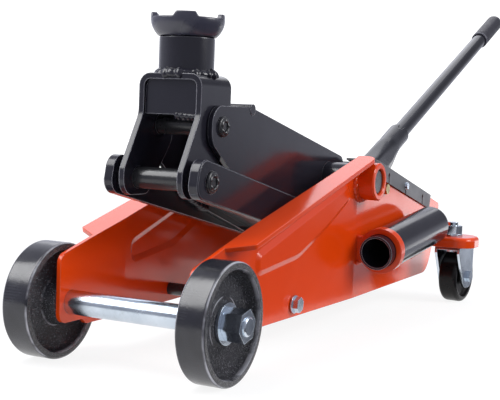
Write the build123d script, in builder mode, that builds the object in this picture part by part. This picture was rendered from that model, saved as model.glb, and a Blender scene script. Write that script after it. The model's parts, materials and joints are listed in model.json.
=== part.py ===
from build123d import *
import os
from math import atan2, cos, hypot, pi, radians, sin, sqrt, tan

# A hydraulic trolley jack, standing on its wheels.
# Millimetres. +Z is up, the handle points to +Y, the front wheels are at -Y.
# Names ending in _d are distances along the jack from the front axle, and _z are heights above the floor.

# Overall layout
front_axle_y = -525.0
pivot_d = 312.0
pivot_z = 150.0
head_pin_d = 76.0
head_pin_z = 203.0
link_drop_d = 34.0
link_drop_z = 46.0

# Clearances
running = 0.05
side_gap = 0.3
loose = 0.3

# Front wheels and axle
wheel_radius = 50.0
wheel_width = 26.0
wheel_rim = 6.0
wheel_web = 7.0
wheel_hub_radius = 18.5
wheel_stand = 29.9
wheel_hub_recess = 9.0
axle_radius = 10.4
axle_washer_radius = 17.0
axle_washer_t = 2.5
axle_nut_flats = 24.0
axle_nut_h = 17.0
axle_thread_radius = 8.0
axle_stub = 2.0

# Side plates
plate_t = 4.0
front_half = 62.0
rear_half = 71.0
flare_from_d = 80.0
flare_to_d = 300.0
plate_nose_d = -16.0
plate_low_z = 28.0
plate_nose_low_z = 33.0
plate_nose_step_d = 16.0
plate_nose_top_z = 91.0
flange_from_d = 32.0
flange_from_z = 104.0
flange_to_d = 311.0
flange_to_z = 176.2
flange_front_reach = 22.0
flange_rear_reach = 17.0
flange_cut = 16.0
flange_corner = 12.0
plate_rear_d = 584.0
plate_rear_low_d = 548.0
plate_rear_low_z = 92.0
panel_raise = 2.4
panel_slope = 66.0

# Main pivot
shaft_radius = 13.0
boss_radius = 19.5
boss_length = 20.0
shaft_recess = 2.0

# Tie rod
tie_d = 165.0
tie_z = 40.0
tie_radius = 6.0
tie_bolt_radius = 4.0
tie_bolt_flats = 13.0
tie_bolt_head = 5.5
tie_bolt_depth = 16.0
tie_washer_radius = 8.5
tie_washer_t = 1.6

# Lift arm
arm_inner = 32.0
arm_t = 4.5
arm_nose = 18.0
arm_corner_run = 52.0
arm_corner_rise = 18.0
arm_tail_run = 40.0
arm_tail_rise = 22.0
arm_belly_run = 150.0
arm_belly_drop = 26.0
arm_chin_run = 24.0
arm_chin_drop = 43.0
arm_sheet_t = 4.0
arm_top_start = 12.0
arm_bottom_start_d = 124.0
arm_bottom_end_gap = 46.0
cross_rod_radius = 5.0
cross_rod_run = 3.5
cross_rod_sink = 1.5
pivot_tube_radius = 18.0
ram_lever = 62.0
ram_lever_lean = 12.5
ram_pin_radius = 8.0
horn_radius = 15.0

# Parallel links
link_half_height = 17.0
link_front = 22.0
link_front_corner = 12.5
link_t = 9.0
link_gap = 1.0
link_pin_radius = 8.0
link_collar_radius = 12.0

# Head
head_half = 31.0
head_t = 5.0
head_bend = 11.0
head_front_d = 47.0
head_rear_d = 99.0
head_top_z = 247.0
head_eye = 15.0
head_eye_front = 22.0
head_shoulder_z = 212.0
upper_pin_radius = 9.0
lower_pin_radius = 9.5
pin_proud = 2.5
face_plate_low_z = 212.0
face_plate_inset = 3.0
face_plate_t = 4.0
post_d = 73.0
post_radius = 24.15
post_top_z = 279.0
post_bore = 17.5

# Saddle
saddle_stem_length = 24.0
saddle_foot_radius = 25.0
saddle_rim_radius = 32.0
saddle_rim_z = 295.0
saddle_wall = 5.0
saddle_floor_t = 7.0
saddle_lug_width = 21.0
saddle_lug_h = 4.0
saddle_lug_count = 4
saddle_turn = -62.9

# Stored saddle extension
extension_stand = 26.0
extension_mouth_d = 293.0
extension_mouth_z = 78.0
extension_tilt = 5.0
extension_length = 180.0
extension_spigot_bore = 15.2
extension_bore_depth = 110.0
extension_barrel_radius = 22.0
extension_socket_depth = 35.0
holder_radius = 23.5
holder_length = 11.0
holder_setback = 12.0
holder_gap = 1.0
holder_foot_h = 26.0

# Rear cover
cover_t = 2.0
cover_from_d = 348.0
cover_from_z = 171.8
cover_to_d = 546.0
cover_to_z = 123.2
cover_skirt = 17.0
cover_notch_gap = 5.5
cover_notch_to_d = 368.0
cover_slot_half = 33.0
cover_slot_from_d = 462.0
cover_screw_radius = 2.5
cover_screw_head = 4.5
cover_screw_h = 3.0
cover_slit = 2.6

# Casters
stem_stand = 43.6
stem_d = 505.0
stem_radius = 6.0
stem_nut_flats = 19.0
stem_nut_h = 10.0
stem_washer_radius = 11.5
stem_washer_t = 2.5
stem_stub = 4.0
bracket_top_z = 80.0
bracket_t = 4.0
bracket_lip = 12.0
bracket_reach = 28.0
bracket_front = 22.0
bracket_rear = 32.0
bracket_corner = 20.0
bracket_round = 4.5
gusset_reach = 25.0
gusset_drop = 18.0
caster_radius = 31.0
caster_width = 22.0
caster_trail = 18.0
caster_tread = 6.0
caster_hub_radius = 9.0
caster_yaw = 5.0
fork_gap = 1.5
fork_t = 3.0
fork_drop = 1.0
fork_half_length = 15.0
fork_foot = 13.0
swivel_radius = 13.5
caster_axle_radius = 4.0
caster_axle_head = 6.5
caster_axle_head_h = 3.5

# Hydraulic unit
ram_z = 93.0
ram_slack = 2.8
clevis_half = 20.0
clevis_half_h = 24.0
clevis_front = 17.0
clevis_rear = 26.0
spring_plate_t = 6.0
spring_plate_half = 28.0
spring_x = 20.0
spring_z = 52.0
rod_radius = 12.5
cylinder_radius = 28.0
cylinder_front_d = 393.0
cylinder_cap_radius = 30.0
cylinder_cap_length = 10.0
block_front_d = 470.0
block_step_d = 507.0
block_rear_d = 545.0
block_low_z = 42.0
block_step_z = 76.0
block_top_z = 112.0
ram_bore_depth = 29.0

# Small bolts in the side plates, just behind the main pivot
plate_bolt_d = 382.0
plate_bolt_z = 138.5
plate_bolt_radius = 3.0
plate_bolt_flats = 10.5
plate_bolt_head = 4.0
plate_bolt_tail = 8.0

# Return springs
spring_wire = 1.1
spring_coil = 5.4
spring_turns = 13

# Pump and handle
handle_pivot_d = 498.0
handle_pivot_z = 129.0
handle_angle = 22.4
handle_rise = 11.2
handle_pin_radius = 6.0
ear_inner = 21.0
ear_t = 8.0
ear_radius = 14.0
knuckle_radius = 11.0
cam_reach = 24.0
cam_lean = -24.0
cam_radius = 7.0
cam_half = 8.0
socket_wall = 3.6
socket_start = 121.0
socket_length = 150.0
socket_notch = 6.0
socket_notch_depth = 10.0
socket_notch_turn = 20.0
yoke_half = 12.0
yoke_rear_d = 579.0
yoke_low_z = 147.0
tube_radius = 10.65
tube_start = 122.0
tube_wall = 2.6
grip_wall = 2.3
grip_from = 552.0
grip_to = 651.0
plunger_radius = 6.0
plunger_depth = 26.0
plunger_head_radius = 9.5
plunger_head_h = 5.0
plunger_wire = 0.9
plunger_coil = 7.6
plunger_turns = 6
valve_radius = 5.0
valve_boss_radius = 11.0
valve_boss_gap = 7.0
valve_yoke_radius = 8.0
valve_yoke_length = 5.0


def along(d):
    return front_axle_y + d


def side_plane(x):
    return Plane.YZ.offset(x)


def side_points(points):
    return [(along(d), z) for d, z in points]


def between(a, b, share):
    return (a[0] + (b[0] - a[0]) * share, a[1] + (b[1] - a[1]) * share)


def inner_face(d):
    share = min(max((d - flare_from_d) / (flare_to_d - flare_from_d), 0.0), 1.0)
    return front_half + (rear_half - front_half) * share


def finish(piece, name):
    piece.part.label = name
    export_step(piece.part, f"parts/{name}.step")


def mirrored(piece):
    with BuildPart() as other:
        mirror(piece.part, about=Plane.YZ)
    return other


os.makedirs("parts", exist_ok=True)

# Pin positions, in side view
pivot = (pivot_d, pivot_z)
lower_pin = (head_pin_d - link_drop_d, head_pin_z - link_drop_z)
link_pivot = (pivot_d - link_drop_d, pivot_z - link_drop_z)
ram_pin_at = (
    pivot_d + ram_lever * sin(radians(ram_lever_lean)),
    pivot_z - ram_lever * cos(radians(ram_lever_lean)),
)
front_outer = front_half + plate_t
rear_outer = rear_half + plate_t
wheel_outer_x = front_outer + wheel_stand
extension_x = rear_outer + extension_stand
stem_x = rear_outer + stem_stand
socket_radius = tube_radius + socket_wall
grip_radius = tube_radius + grip_wall
extension_spigot_length = holder_setback + holder_length + holder_gap
arm_outer = arm_inner + arm_t
link_inner = arm_outer + link_gap
link_outer = link_inner + link_t
pump_axis_d = handle_pivot_d + cam_reach * cos(radians(cam_lean))

# Side plates: a flared sheet cut to its outline, with the top edge bent out as a flange
flange_slope = atan2(flange_to_z - flange_from_z, flange_to_d - flange_from_d)
flange_length = hypot(flange_to_d - flange_from_d, flange_to_z - flange_from_z)
flange_start = front_half + plate_t / 2
cover_slope = atan2(cover_to_z - cover_from_z, cover_to_d - cover_from_d)
cover_seat = cover_t + side_gap


def under_cover(d):
    return cover_from_z + (d - cover_from_d) * tan(cover_slope) - cover_seat / cos(cover_slope)


plate_outline = [
    (plate_nose_d, plate_nose_low_z),
    (plate_nose_step_d, plate_nose_low_z),
    (plate_nose_step_d + 6.0, plate_low_z),
    (plate_rear_low_d, plate_low_z),
    (plate_rear_d, plate_rear_low_z),
    (plate_rear_d, under_cover(plate_rear_d)),
    (cover_from_d, under_cover(cover_from_d)),
    (flange_to_d + 8.0, flange_to_z - 1.0),
    (flange_to_d, flange_to_z),
    (flange_from_d, flange_from_z),
    (plate_nose_d, plate_nose_top_z),
]
plate_radii = [9.0, 4.0, 4.0, 30.0, 8.0, 6.0, 5.0, 3.0, 3.0, 2.0, 9.0]

flare_run = hypot(flare_to_d - flare_from_d, rear_half - front_half)
flare_x = (rear_half - front_half) / flare_run
flare_y = (flare_to_d - flare_from_d) / flare_run
flare_plane = Plane(
    origin=(front_outer, along(flare_from_d), 0),
    x_dir=(flare_x, flare_y, 0),
    z_dir=(flare_y, -flare_x, 0),
)
panel_outline = [(9.0, 73.0), (9.0, 95.0), (194.0, 150.0), (208.0, 134.0), (146.0, 104.0), (90.0, 82.0)]
panel_radii = [10.0, 10.0, 8.0, 9.0, 60.0, 60.0]

with BuildPart() as side_plate_right:
    with BuildSketch(side_plane(front_half - plate_t)) as outline:
        with BuildLine():
            FilletPolyline(*side_points(plate_outline), radius=plate_radii, close=True)
        make_face()
    extrude(amount=rear_outer - front_half + 2 * plate_t)
    with BuildSketch(Plane.XY) as plan:
        with BuildLine():
            Polyline(
                (front_half, along(plate_nose_d - 1.0)),
                (front_half, along(flare_from_d)),
                (rear_half, along(flare_to_d)),
                (rear_half, along(plate_rear_d + 1.0)),
                (rear_outer, along(plate_rear_d + 1.0)),
                (rear_outer, along(flare_to_d)),
                (front_outer, along(flare_from_d)),
                (front_outer, along(plate_nose_d - 1.0)),
                close=True,
            )
        make_face()
    extrude(amount=flange_to_z + plate_t, mode=Mode.INTERSECT)
    flange_plane = Plane(
        origin=(0, along(flange_from_d), flange_from_z),
        x_dir=(1, 0, 0),
        z_dir=(0, -sin(flange_slope), cos(flange_slope)),
    )
    bend_from = (flare_from_d - flange_from_d) / cos(flange_slope)
    bend_to = (flare_to_d - flange_from_d) / cos(flange_slope)
    with BuildSketch(flange_plane) as flange:
        with BuildLine():
            FilletPolyline(
                (flange_start, 0.0),
                (front_outer + flange_front_reach, flange_cut),
                (rear_outer + flange_rear_reach, flange_length),
                (rear_half + plate_t / 2, flange_length),
                (rear_half + plate_t / 2, bend_to),
                (flange_start, bend_from),
                radius=[0, flange_corner / 3, flange_corner, 0, 0, 0],
                close=True,
            )
        make_face()
    extrude(amount=-plate_t)
    with BuildSketch(flare_plane) as panel:
        with BuildLine():
            FilletPolyline(*panel_outline, radius=panel_radii, close=True)
        make_face()
    extrude(amount=panel_raise, taper=panel_slope)
    with BuildSketch(flare_plane.offset(-plate_t)) as panel_back:
        with BuildLine():
            FilletPolyline(*panel_outline, radius=panel_radii, close=True)
        make_face()
    extrude(amount=panel_raise, taper=panel_slope, mode=Mode.SUBTRACT)
    with BuildSketch(side_plane(0)) as holes:
        with Locations((along(0), wheel_radius)):
            Circle(axle_radius + running)
        with Locations((along(pivot_d), pivot_z)):
            Circle(shaft_radius + running)
        with Locations((along(tie_d), tie_z)):
            Circle(tie_bolt_radius + running)
        with Locations((along(plate_bolt_d), plate_bolt_z)):
            Circle(plate_bolt_radius + running)
    extrude(amount=rear_outer + boss_length, mode=Mode.SUBTRACT)
finish(side_plate_right, "side_plate_right")
side_plate_left = mirrored(side_plate_right)
finish(side_plate_left, "side_plate_left")

# Boss rings welded outside the plates round the main pivot shaft
with BuildPart() as pivot_bosses:
    with BuildSketch(side_plane(rear_outer)) as ring:
        with Locations((along(pivot_d), pivot_z)):
            Circle(boss_radius)
            Circle(shaft_radius + running, mode=Mode.SUBTRACT)
    extrude(amount=boss_length)
    boss_rim = pivot_bosses.edges().group_by(Axis.X)[-1]
    chamfer(boss_rim, 1.2)
    mirror(about=Plane.YZ)
finish(pivot_bosses, "pivot_bosses")

with BuildPart() as main_pivot_shaft:
    with BuildSketch(side_plane(0)):
        with Locations((along(pivot_d), pivot_z)):
            Circle(shaft_radius)
    extrude(amount=rear_outer + boss_length - shaft_recess, both=True)
    chamfer(main_pivot_shaft.edges().filter_by(GeomType.CIRCLE), 1.5)
finish(main_pivot_shaft, "main_pivot_shaft")

# Front axle, its washers and its hex nuts
hub_outer_x = wheel_outer_x - wheel_hub_recess
washer_x = hub_outer_x + side_gap
nut_x = washer_x + axle_washer_t
axle_half = nut_x + axle_nut_h + axle_stub

with BuildPart() as front_axle:
    with BuildSketch(side_plane(0)):
        with Locations((along(0), wheel_radius)):
            Circle(axle_radius)
    extrude(amount=washer_x, both=True)
    with BuildSketch(side_plane(0)):
        with Locations((along(0), wheel_radius)):
            Circle(axle_thread_radius)
    extrude(amount=axle_half, both=True)
    tips = front_axle.edges().filter_by(GeomType.CIRCLE).sort_by(Axis.X)
    chamfer([tips[0], tips[-1]], 1.2)
finish(front_axle, "front_axle")

with BuildPart() as axle_washers:
    with BuildSketch(side_plane(washer_x)):
        with Locations((along(0), wheel_radius)):
            Circle(axle_washer_radius)
            Circle(axle_thread_radius + running, mode=Mode.SUBTRACT)
    extrude(amount=axle_washer_t)
    mirror(about=Plane.YZ)
finish(axle_washers, "axle_washers")

with BuildPart() as axle_nuts:
    with BuildSketch(side_plane(nut_x)):
        with Locations((along(0), wheel_radius)):
            RegularPolygon(axle_nut_flats / 2, 6, major_radius=False, rotation=12)
            Circle(axle_thread_radius + running, mode=Mode.SUBTRACT)
    extrude(amount=axle_nut_h)
    with BuildSketch(side_plane(nut_x)):
        with Locations((along(0), wheel_radius)):
            Circle(axle_nut_flats / 2 + 1.2)
    extrude(amount=axle_nut_h, taper=-6, mode=Mode.INTERSECT)
    mirror(about=Plane.YZ)
finish(axle_nuts, "axle_nuts")

# Cast front wheels: a plain tread, a recessed web and a hub
wheel_inner_x = wheel_outer_x - wheel_width
hub_inner_x = front_outer + side_gap
web_mid_x = wheel_outer_x - wheel_width * 0.55
web_low = web_mid_x - wheel_web / 2
web_high = web_mid_x + wheel_web / 2
rim_inside = wheel_radius - wheel_rim
with BuildPart() as front_wheel_right:
    with BuildSketch(Plane(origin=(0, along(0), wheel_radius), x_dir=(1, 0, 0), z_dir=(0, -1, 0))):
        with BuildLine():
            FilletPolyline(
                (hub_inner_x, axle_radius + running),
                (hub_outer_x, axle_radius + running),
                (hub_outer_x, wheel_hub_radius),
                (web_high, wheel_hub_radius + 3.0),
                (web_high, rim_inside - 2.0),
                (wheel_outer_x, rim_inside),
                (wheel_outer_x, wheel_radius),
                (wheel_inner_x, wheel_radius),
                (wheel_inner_x, rim_inside),
                (web_low, rim_inside - 2.0),
                (web_low, wheel_hub_radius + 3.0),
                (hub_inner_x, wheel_hub_radius),
                radius=[0, 0, 1.5, 3.0, 3.0, 1.0, 2.5, 2.5, 1.0, 3.0, 3.0, 1.5],
                close=True,
            )
        make_face()
    revolve(axis=Axis((0, along(0), wheel_radius), (1, 0, 0)))
finish(front_wheel_right, "front_wheel_right")
front_wheel_left = mirrored(front_wheel_right)
finish(front_wheel_left, "front_wheel_left")

# Tie rod between the plates and the hex bolts that hold it
tie_half = inner_face(tie_d - tie_radius) - running
with BuildPart() as tie_rod:
    with BuildSketch(side_plane(0)):
        with Locations((along(tie_d), tie_z)):
            Circle(tie_radius)
    extrude(amount=tie_half, both=True)
    with BuildSketch(side_plane(0)):
        with Locations((along(tie_d), tie_z)):
            Circle(tie_bolt_radius + running)
    extrude(amount=tie_half, both=True, mode=Mode.SUBTRACT)
    with BuildSketch(side_plane(0)):
        with Locations((along(tie_d), tie_z)):
            Circle(tie_bolt_radius + running)
    extrude(amount=tie_half - tie_bolt_depth, both=True)
finish(tie_rod, "tie_rod")

tie_seat = inner_face(tie_d + tie_washer_radius) + plate_t + running
with BuildPart() as tie_bolts:
    with BuildSketch(side_plane(tie_seat)):
        with Locations((along(tie_d), tie_z)):
            Circle(tie_washer_radius)
    extrude(amount=tie_washer_t)
    with BuildSketch(side_plane(tie_seat + tie_washer_t)):
        with Locations((along(tie_d), tie_z)):
            RegularPolygon(tie_bolt_flats / 2, 6, major_radius=False, rotation=20)
    extrude(amount=tie_bolt_head)
    with BuildSketch(side_plane(tie_half - tie_bolt_depth + 1.0)):
        with Locations((along(tie_d), tie_z)):
            Circle(tie_bolt_radius)
    extrude(amount=tie_seat - tie_half + tie_bolt_depth)
    mirror(about=Plane.YZ)
finish(tie_bolts, "tie_bolts")

# Pins that carry the rear ends of the links, welded to the inside of the side plates
collar_from = link_outer + side_gap
collar_to = inner_face(link_pivot[0] - link_collar_radius) - running
with BuildPart() as link_pivot_pins:
    with BuildSketch(side_plane(arm_outer + 0.7)):
        with Locations((along(link_pivot[0]), link_pivot[1])):
            Circle(link_pin_radius)
    extrude(amount=collar_from - arm_outer - 0.7)
    with BuildSketch(side_plane(collar_from)):
        with Locations((along(link_pivot[0]), link_pivot[1])):
            Circle(link_collar_radius)
    extrude(amount=collar_to - collar_from)
    mirror(about=Plane.YZ)
finish(link_pivot_pins, "link_pivot_pins")

# Parallel links: flat bars with a round eye at each end
link_span = hypot(link_pivot[0] - lower_pin[0], link_pivot[1] - lower_pin[1])
link_run = ((link_pivot[0] - lower_pin[0]) / link_span, (link_pivot[1] - lower_pin[1]) / link_span)


def on_link(run, rise):
    return (
        lower_pin[0] + link_run[0] * run - link_run[1] * rise,
        lower_pin[1] + link_run[1] * run + link_run[0] * rise,
    )


link_outline = [
    on_link(-link_front, link_half_height),
    on_link(-link_front, -link_half_height),
    on_link(link_span + link_half_height, -link_half_height),
    on_link(link_span + link_half_height, link_half_height),
]
link_radii = [link_front_corner, link_front_corner, link_half_height - 0.1, link_half_height - 0.1]
with BuildPart() as link_right:
    with BuildSketch(side_plane(link_inner)):
        with BuildLine():
            FilletPolyline(*side_points(link_outline), radius=link_radii, close=True)
        make_face()
        with Locations((along(lower_pin[0]), lower_pin[1])):
            Circle(lower_pin_radius + loose, mode=Mode.SUBTRACT)
        with Locations((along(link_pivot[0]), link_pivot[1])):
            Circle(link_pin_radius + running, mode=Mode.SUBTRACT)
    extrude(amount=link_t)
    link_rims = link_right.edges().group_by(Axis.X)[-1].filter_by(
        lambda e: e.geom_type == GeomType.LINE or e.radius > lower_pin_radius + 1.0
    )
    chamfer(link_rims, 1.0)
finish(link_right, "link_right")
link_left = mirrored(link_right)
finish(link_left, "link_left")

# Lift arm: two side plates with a nose at the head pin and a horn down to the ram pin
arm_corner = (head_pin_d + arm_corner_run, head_pin_z + arm_corner_rise)
arm_tail = (pivot_d + arm_tail_run, pivot_z + arm_tail_rise)
arm_belly = (pivot_d - arm_belly_run, pivot_z - arm_belly_drop)
arm_chin = (head_pin_d + arm_chin_run, head_pin_z - arm_chin_drop)
arm_outline = [
    (head_pin_d - arm_nose, head_pin_z + arm_nose),
    arm_corner,
    arm_tail,
    (arm_tail[0], pivot_z - horn_radius),
    (ram_pin_at[0] + horn_radius, ram_pin_at[1] - horn_radius),
    (ram_pin_at[0] - horn_radius, ram_pin_at[1] - horn_radius),
    arm_belly,
    arm_chin,
    (head_pin_d - arm_nose, head_pin_z - arm_nose * 0.75),
]
arm_radii = [arm_nose - 1.0, 6.0, 10.0, 12.0, horn_radius - 1.0, 8.0, 40.0, 20.0, arm_nose - 2.0]
top_length = hypot(arm_tail[0] - arm_corner[0], arm_tail[1] - arm_corner[1])
top_run = ((arm_tail[0] - arm_corner[0]) / top_length, (arm_tail[1] - arm_corner[1]) / top_length)
top_down = (top_run[1], -top_run[0])


def on_top(run, down):
    return (
        arm_corner[0] + top_run[0] * run + top_down[0] * down,
        arm_corner[1] + top_run[1] * run + top_down[1] * down,
    )


cross_rod_at = on_top(cross_rod_run, cross_rod_sink)
with BuildPart() as arm_plate_right:
    with BuildSketch(side_plane(arm_inner)):
        with BuildLine():
            FilletPolyline(*side_points(arm_outline), radius=arm_radii, close=True)
        make_face()
        with Locations((along(head_pin_d), head_pin_z)):
            Circle(upper_pin_radius + running, mode=Mode.SUBTRACT)
        with Locations((along(pivot_d), pivot_z)):
            Circle(pivot_tube_radius, mode=Mode.SUBTRACT)
        with Locations((along(ram_pin_at[0]), ram_pin_at[1])):
            Circle(ram_pin_radius + running, mode=Mode.SUBTRACT)
        with Locations((along(cross_rod_at[0]), cross_rod_at[1])):
            Circle(cross_rod_radius + running, mode=Mode.SUBTRACT)
    extrude(amount=arm_t)
finish(arm_plate_right, "arm_plate_right")
arm_plate_left = mirrored(arm_plate_right)
finish(arm_plate_left, "arm_plate_left")

with BuildPart() as arm_top_sheet:
    with BuildSketch(side_plane(0)):
        with BuildLine():
            Polyline(
                *side_points([
                    on_top(arm_top_start, 0),
                    on_top(top_length - arm_top_start, 0),
                    on_top(top_length - arm_top_start, arm_sheet_t),
                    on_top(arm_top_start, arm_sheet_t),
                ]),
                close=True,
            )
        make_face()
    extrude(amount=arm_inner, both=True)
finish(arm_top_sheet, "arm_top_sheet")

# Bottom sheet: follows the belly of the arm and stops short of the ram
belly_share = (arm_bottom_start_d - arm_chin[0]) / (arm_belly[0] - arm_chin[0])
bottom_front = between(arm_chin, arm_belly, belly_share)
horn_front = (ram_pin_at[0] - horn_radius, ram_pin_at[1] - horn_radius)
bottom_rear_share = 1.0 - arm_bottom_end_gap / (horn_front[0] - arm_belly[0])
bottom_rear = between(arm_belly, horn_front, bottom_rear_share)
bottom_lift = arm_sheet_t * 1.6
with BuildPart() as arm_bottom_sheet:
    with BuildSketch(side_plane(0)):
        with BuildLine():
            FilletPolyline(
                *side_points([
                    (bottom_front[0], bottom_front[1] + bottom_lift),
                    (arm_belly[0], arm_belly[1] + bottom_lift),
                    (bottom_rear[0], bottom_rear[1] + bottom_lift),
                    (bottom_rear[0], bottom_rear[1] + bottom_lift + arm_sheet_t),
                    (arm_belly[0], arm_belly[1] + bottom_lift + arm_sheet_t),
                    (bottom_front[0], bottom_front[1] + bottom_lift + arm_sheet_t),
                ]),
                radius=[0, 36.0, 0, 0, 40.0, 0],
                close=True,
            )
        make_face()
    extrude(amount=arm_inner, both=True)
finish(arm_bottom_sheet, "arm_bottom_sheet")

with BuildPart() as arm_cross_rod:
    with BuildSketch(side_plane(0)):
        with Locations((along(cross_rod_at[0]), cross_rod_at[1])):
            Circle(cross_rod_radius)
    extrude(amount=arm_outer + 0.5, both=True)
finish(arm_cross_rod, "arm_cross_rod")

with BuildPart() as arm_pivot_tube:
    with BuildSketch(side_plane(0)):
        with Locations((along(pivot_d), pivot_z)):
            Circle(pivot_tube_radius - running)
            Circle(shaft_radius + running, mode=Mode.SUBTRACT)
    extrude(amount=inner_face(pivot_d - pivot_tube_radius) - side_gap, both=True)
finish(arm_pivot_tube, "arm_pivot_tube")

with BuildPart() as ram_pin:
    with BuildSketch(side_plane(0)):
        with Locations((along(ram_pin_at[0]), ram_pin_at[1])):
            Circle(ram_pin_radius)
    extrude(amount=arm_outer, both=True)
finish(ram_pin, "ram_pin")

# Head bracket: a plate bent to a U over the post, with legs sweeping forward to the lower pin
head_outline = [
    (head_front_d, head_top_z),
    (head_front_d, head_shoulder_z),
    (lower_pin[0] - head_eye_front, lower_pin[1] + head_eye * 0.5),
    (lower_pin[0] - head_eye_front, lower_pin[1] - head_eye),
    (lower_pin[0] + head_eye, lower_pin[1] - head_eye),
    (head_pin_d + arm_nose, head_pin_z - arm_nose * 0.9),
    (head_rear_d, head_pin_z + arm_nose * 0.3),
    (head_rear_d, head_top_z),
]
head_radii = [0, 20.0, 14.0, head_eye - 1.0, 10.0, 12.0, 12.0, 0]
with BuildPart() as head_bracket:
    with BuildSketch(Plane.XZ.offset(-along(head_rear_d + 1.0))):
        with BuildLine():
            FilletPolyline(
                (-head_half, 0.0),
                (-head_half, head_top_z),
                (head_half, head_top_z),
                (head_half, 0.0),
                (head_half - head_t, 0.0),
                (head_half - head_t, head_top_z - head_t),
                (-head_half + head_t, head_top_z - head_t),
                (-head_half + head_t, 0.0),
                radius=[0, head_bend, head_bend, 0, 0, head_bend - head_t, head_bend - head_t, 0],
                close=True,
            )
        make_face()
    extrude(amount=head_rear_d - lower_pin[0] + 2 * head_eye_front)
    with BuildSketch(side_plane(-head_half - 1.0)):
        with BuildLine():
            FilletPolyline(*side_points(head_outline), radius=head_radii, close=True)
        make_face()
        with Locations((along(head_pin_d), head_pin_z)):
            Circle(upper_pin_radius + running, mode=Mode.SUBTRACT)
        with Locations((along(lower_pin[0]), lower_pin[1])):
            Circle(lower_pin_radius + running, mode=Mode.SUBTRACT)
    extrude(amount=2 * head_half + 2.0, mode=Mode.INTERSECT)
    with BuildSketch(Plane.XY.offset(head_top_z - 2 * head_t)):
        with Locations((0, along(post_d))):
            Circle(post_bore + running)
    extrude(amount=3 * head_t, mode=Mode.SUBTRACT)
finish(head_bracket, "head_bracket")

face_half = head_half - head_t
with BuildPart() as head_front_plate:
    with BuildSketch(Plane.XZ.offset(-along(head_front_d + face_plate_inset + face_plate_t))):
        with BuildLine():
            FilletPolyline(
                (-face_half, face_plate_low_z),
                (face_half, face_plate_low_z),
                (face_half, head_top_z - head_t),
                (-face_half, head_top_z - head_t),
                radius=[1.0, 1.0, head_bend - head_t + 2.0, head_bend - head_t + 2.0],
                close=True,
            )
        make_face()
    extrude(amount=face_plate_t)
finish(head_front_plate, "head_front_plate")

with BuildPart() as head_post:
    with BuildSketch(Plane.XY.offset(head_top_z)):
        with Locations((0, along(post_d))):
            Circle(post_radius)
            Circle(post_bore + running, mode=Mode.SUBTRACT)
    extrude(amount=post_top_z - head_top_z)
    chamfer(head_post.edges().group_by(Axis.Z)[-1].sort_by(SortBy.LENGTH)[-1], 1.0)
finish(head_post, "head_post")

with BuildPart() as upper_head_pin:
    with BuildSketch(side_plane(0)):
        with Locations((along(head_pin_d), head_pin_z)):
            Circle(upper_pin_radius)
    extrude(amount=arm_outer + pin_proud, both=True)
    fillet(upper_head_pin.edges().filter_by(GeomType.CIRCLE), 1.5)
finish(upper_head_pin, "upper_head_pin")

with BuildPart() as lower_head_pin:
    with BuildSketch(side_plane(0)):
        with Locations((along(lower_pin[0]), lower_pin[1])):
            Circle(lower_pin_radius)
    extrude(amount=link_outer + pin_proud, both=True)
    fillet(lower_head_pin.edges().filter_by(GeomType.CIRCLE), 1.5)
finish(lower_head_pin, "lower_head_pin")

# Saddle: a cup with lugs on its rim and a stem that turns in the post
saddle_base_z = post_top_z + side_gap
saddle_mid_z = saddle_base_z + (saddle_rim_z - saddle_base_z) * 0.35
bowl_z = saddle_base_z + saddle_floor_t
bowl_radius = saddle_rim_radius - saddle_wall
with BuildPart() as saddle:
    with BuildSketch(Plane(origin=(0, along(post_d), 0), x_dir=(1, 0, 0), z_dir=(0, -1, 0))):
        with BuildLine():
            Polyline(
                (0, saddle_base_z - saddle_stem_length),
                (post_bore - running, saddle_base_z - saddle_stem_length),
                (post_bore - running, saddle_base_z),
                (saddle_foot_radius, saddle_base_z),
            )
            ThreePointArc(
                (saddle_foot_radius, saddle_base_z),
                (saddle_rim_radius - 1.6, saddle_mid_z + 2.0),
                (saddle_rim_radius, saddle_rim_z),
            )
            Polyline(
                (saddle_rim_radius, saddle_rim_z),
                (bowl_radius, saddle_rim_z),
                (bowl_radius - 3.0, bowl_z + 2.5),
                (bowl_radius - 7.0, bowl_z),
                (0, bowl_z),
                (0, saddle_base_z - saddle_stem_length),
            )
        make_face()
    revolve(axis=Axis((0, along(post_d), 0), (0, 0, 1)))
    with BuildSketch(Plane.XY.offset(saddle_rim_z - 1.0)) as lugs:
        with Locations((0, along(post_d))):
            Circle(saddle_rim_radius)
            Circle(bowl_radius, mode=Mode.SUBTRACT)
        with BuildSketch(mode=Mode.INTERSECT):
            with Locations((0, along(post_d))):
                with PolarLocations(0, saddle_lug_count, start_angle=saddle_turn):
                    Rectangle(
                        saddle_rim_radius + 1.0,
                        saddle_lug_width,
                        align=(Align.MIN, Align.CENTER),
                    )
    extrude(amount=saddle_lug_h + 1.0)
finish(saddle, "saddle")

# Stored saddle extension: a hollow spigot, a barrel and a socket for the saddle stem
tilt = radians(extension_tilt)
extension_plane = Plane(
    origin=(extension_x, along(extension_mouth_d), extension_mouth_z),
    x_dir=(1, 0, 0),
    z_dir=(0, cos(tilt), sin(tilt)),
)
with BuildPart() as saddle_extension:
    with BuildSketch(extension_plane):
        Circle(post_bore)
    extrude(amount=extension_spigot_length)
    with BuildSketch(extension_plane.offset(extension_spigot_length)):
        Circle(extension_barrel_radius)
    extrude(amount=extension_length - extension_spigot_length)
    with BuildSketch(extension_plane):
        Circle(extension_spigot_bore)
    extrude(amount=extension_bore_depth, mode=Mode.SUBTRACT)
    with BuildSketch(extension_plane.offset(extension_length - extension_socket_depth)):
        Circle(post_bore + 2 * running)
    extrude(amount=extension_socket_depth, mode=Mode.SUBTRACT)
    barrel_rims = saddle_extension.edges().filter_by(
        lambda e: e.geom_type == GeomType.CIRCLE and abs(e.radius - extension_barrel_radius) < 0.01
    )
    chamfer(barrel_rims, 1.0)
finish(saddle_extension, "saddle_extension")

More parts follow.
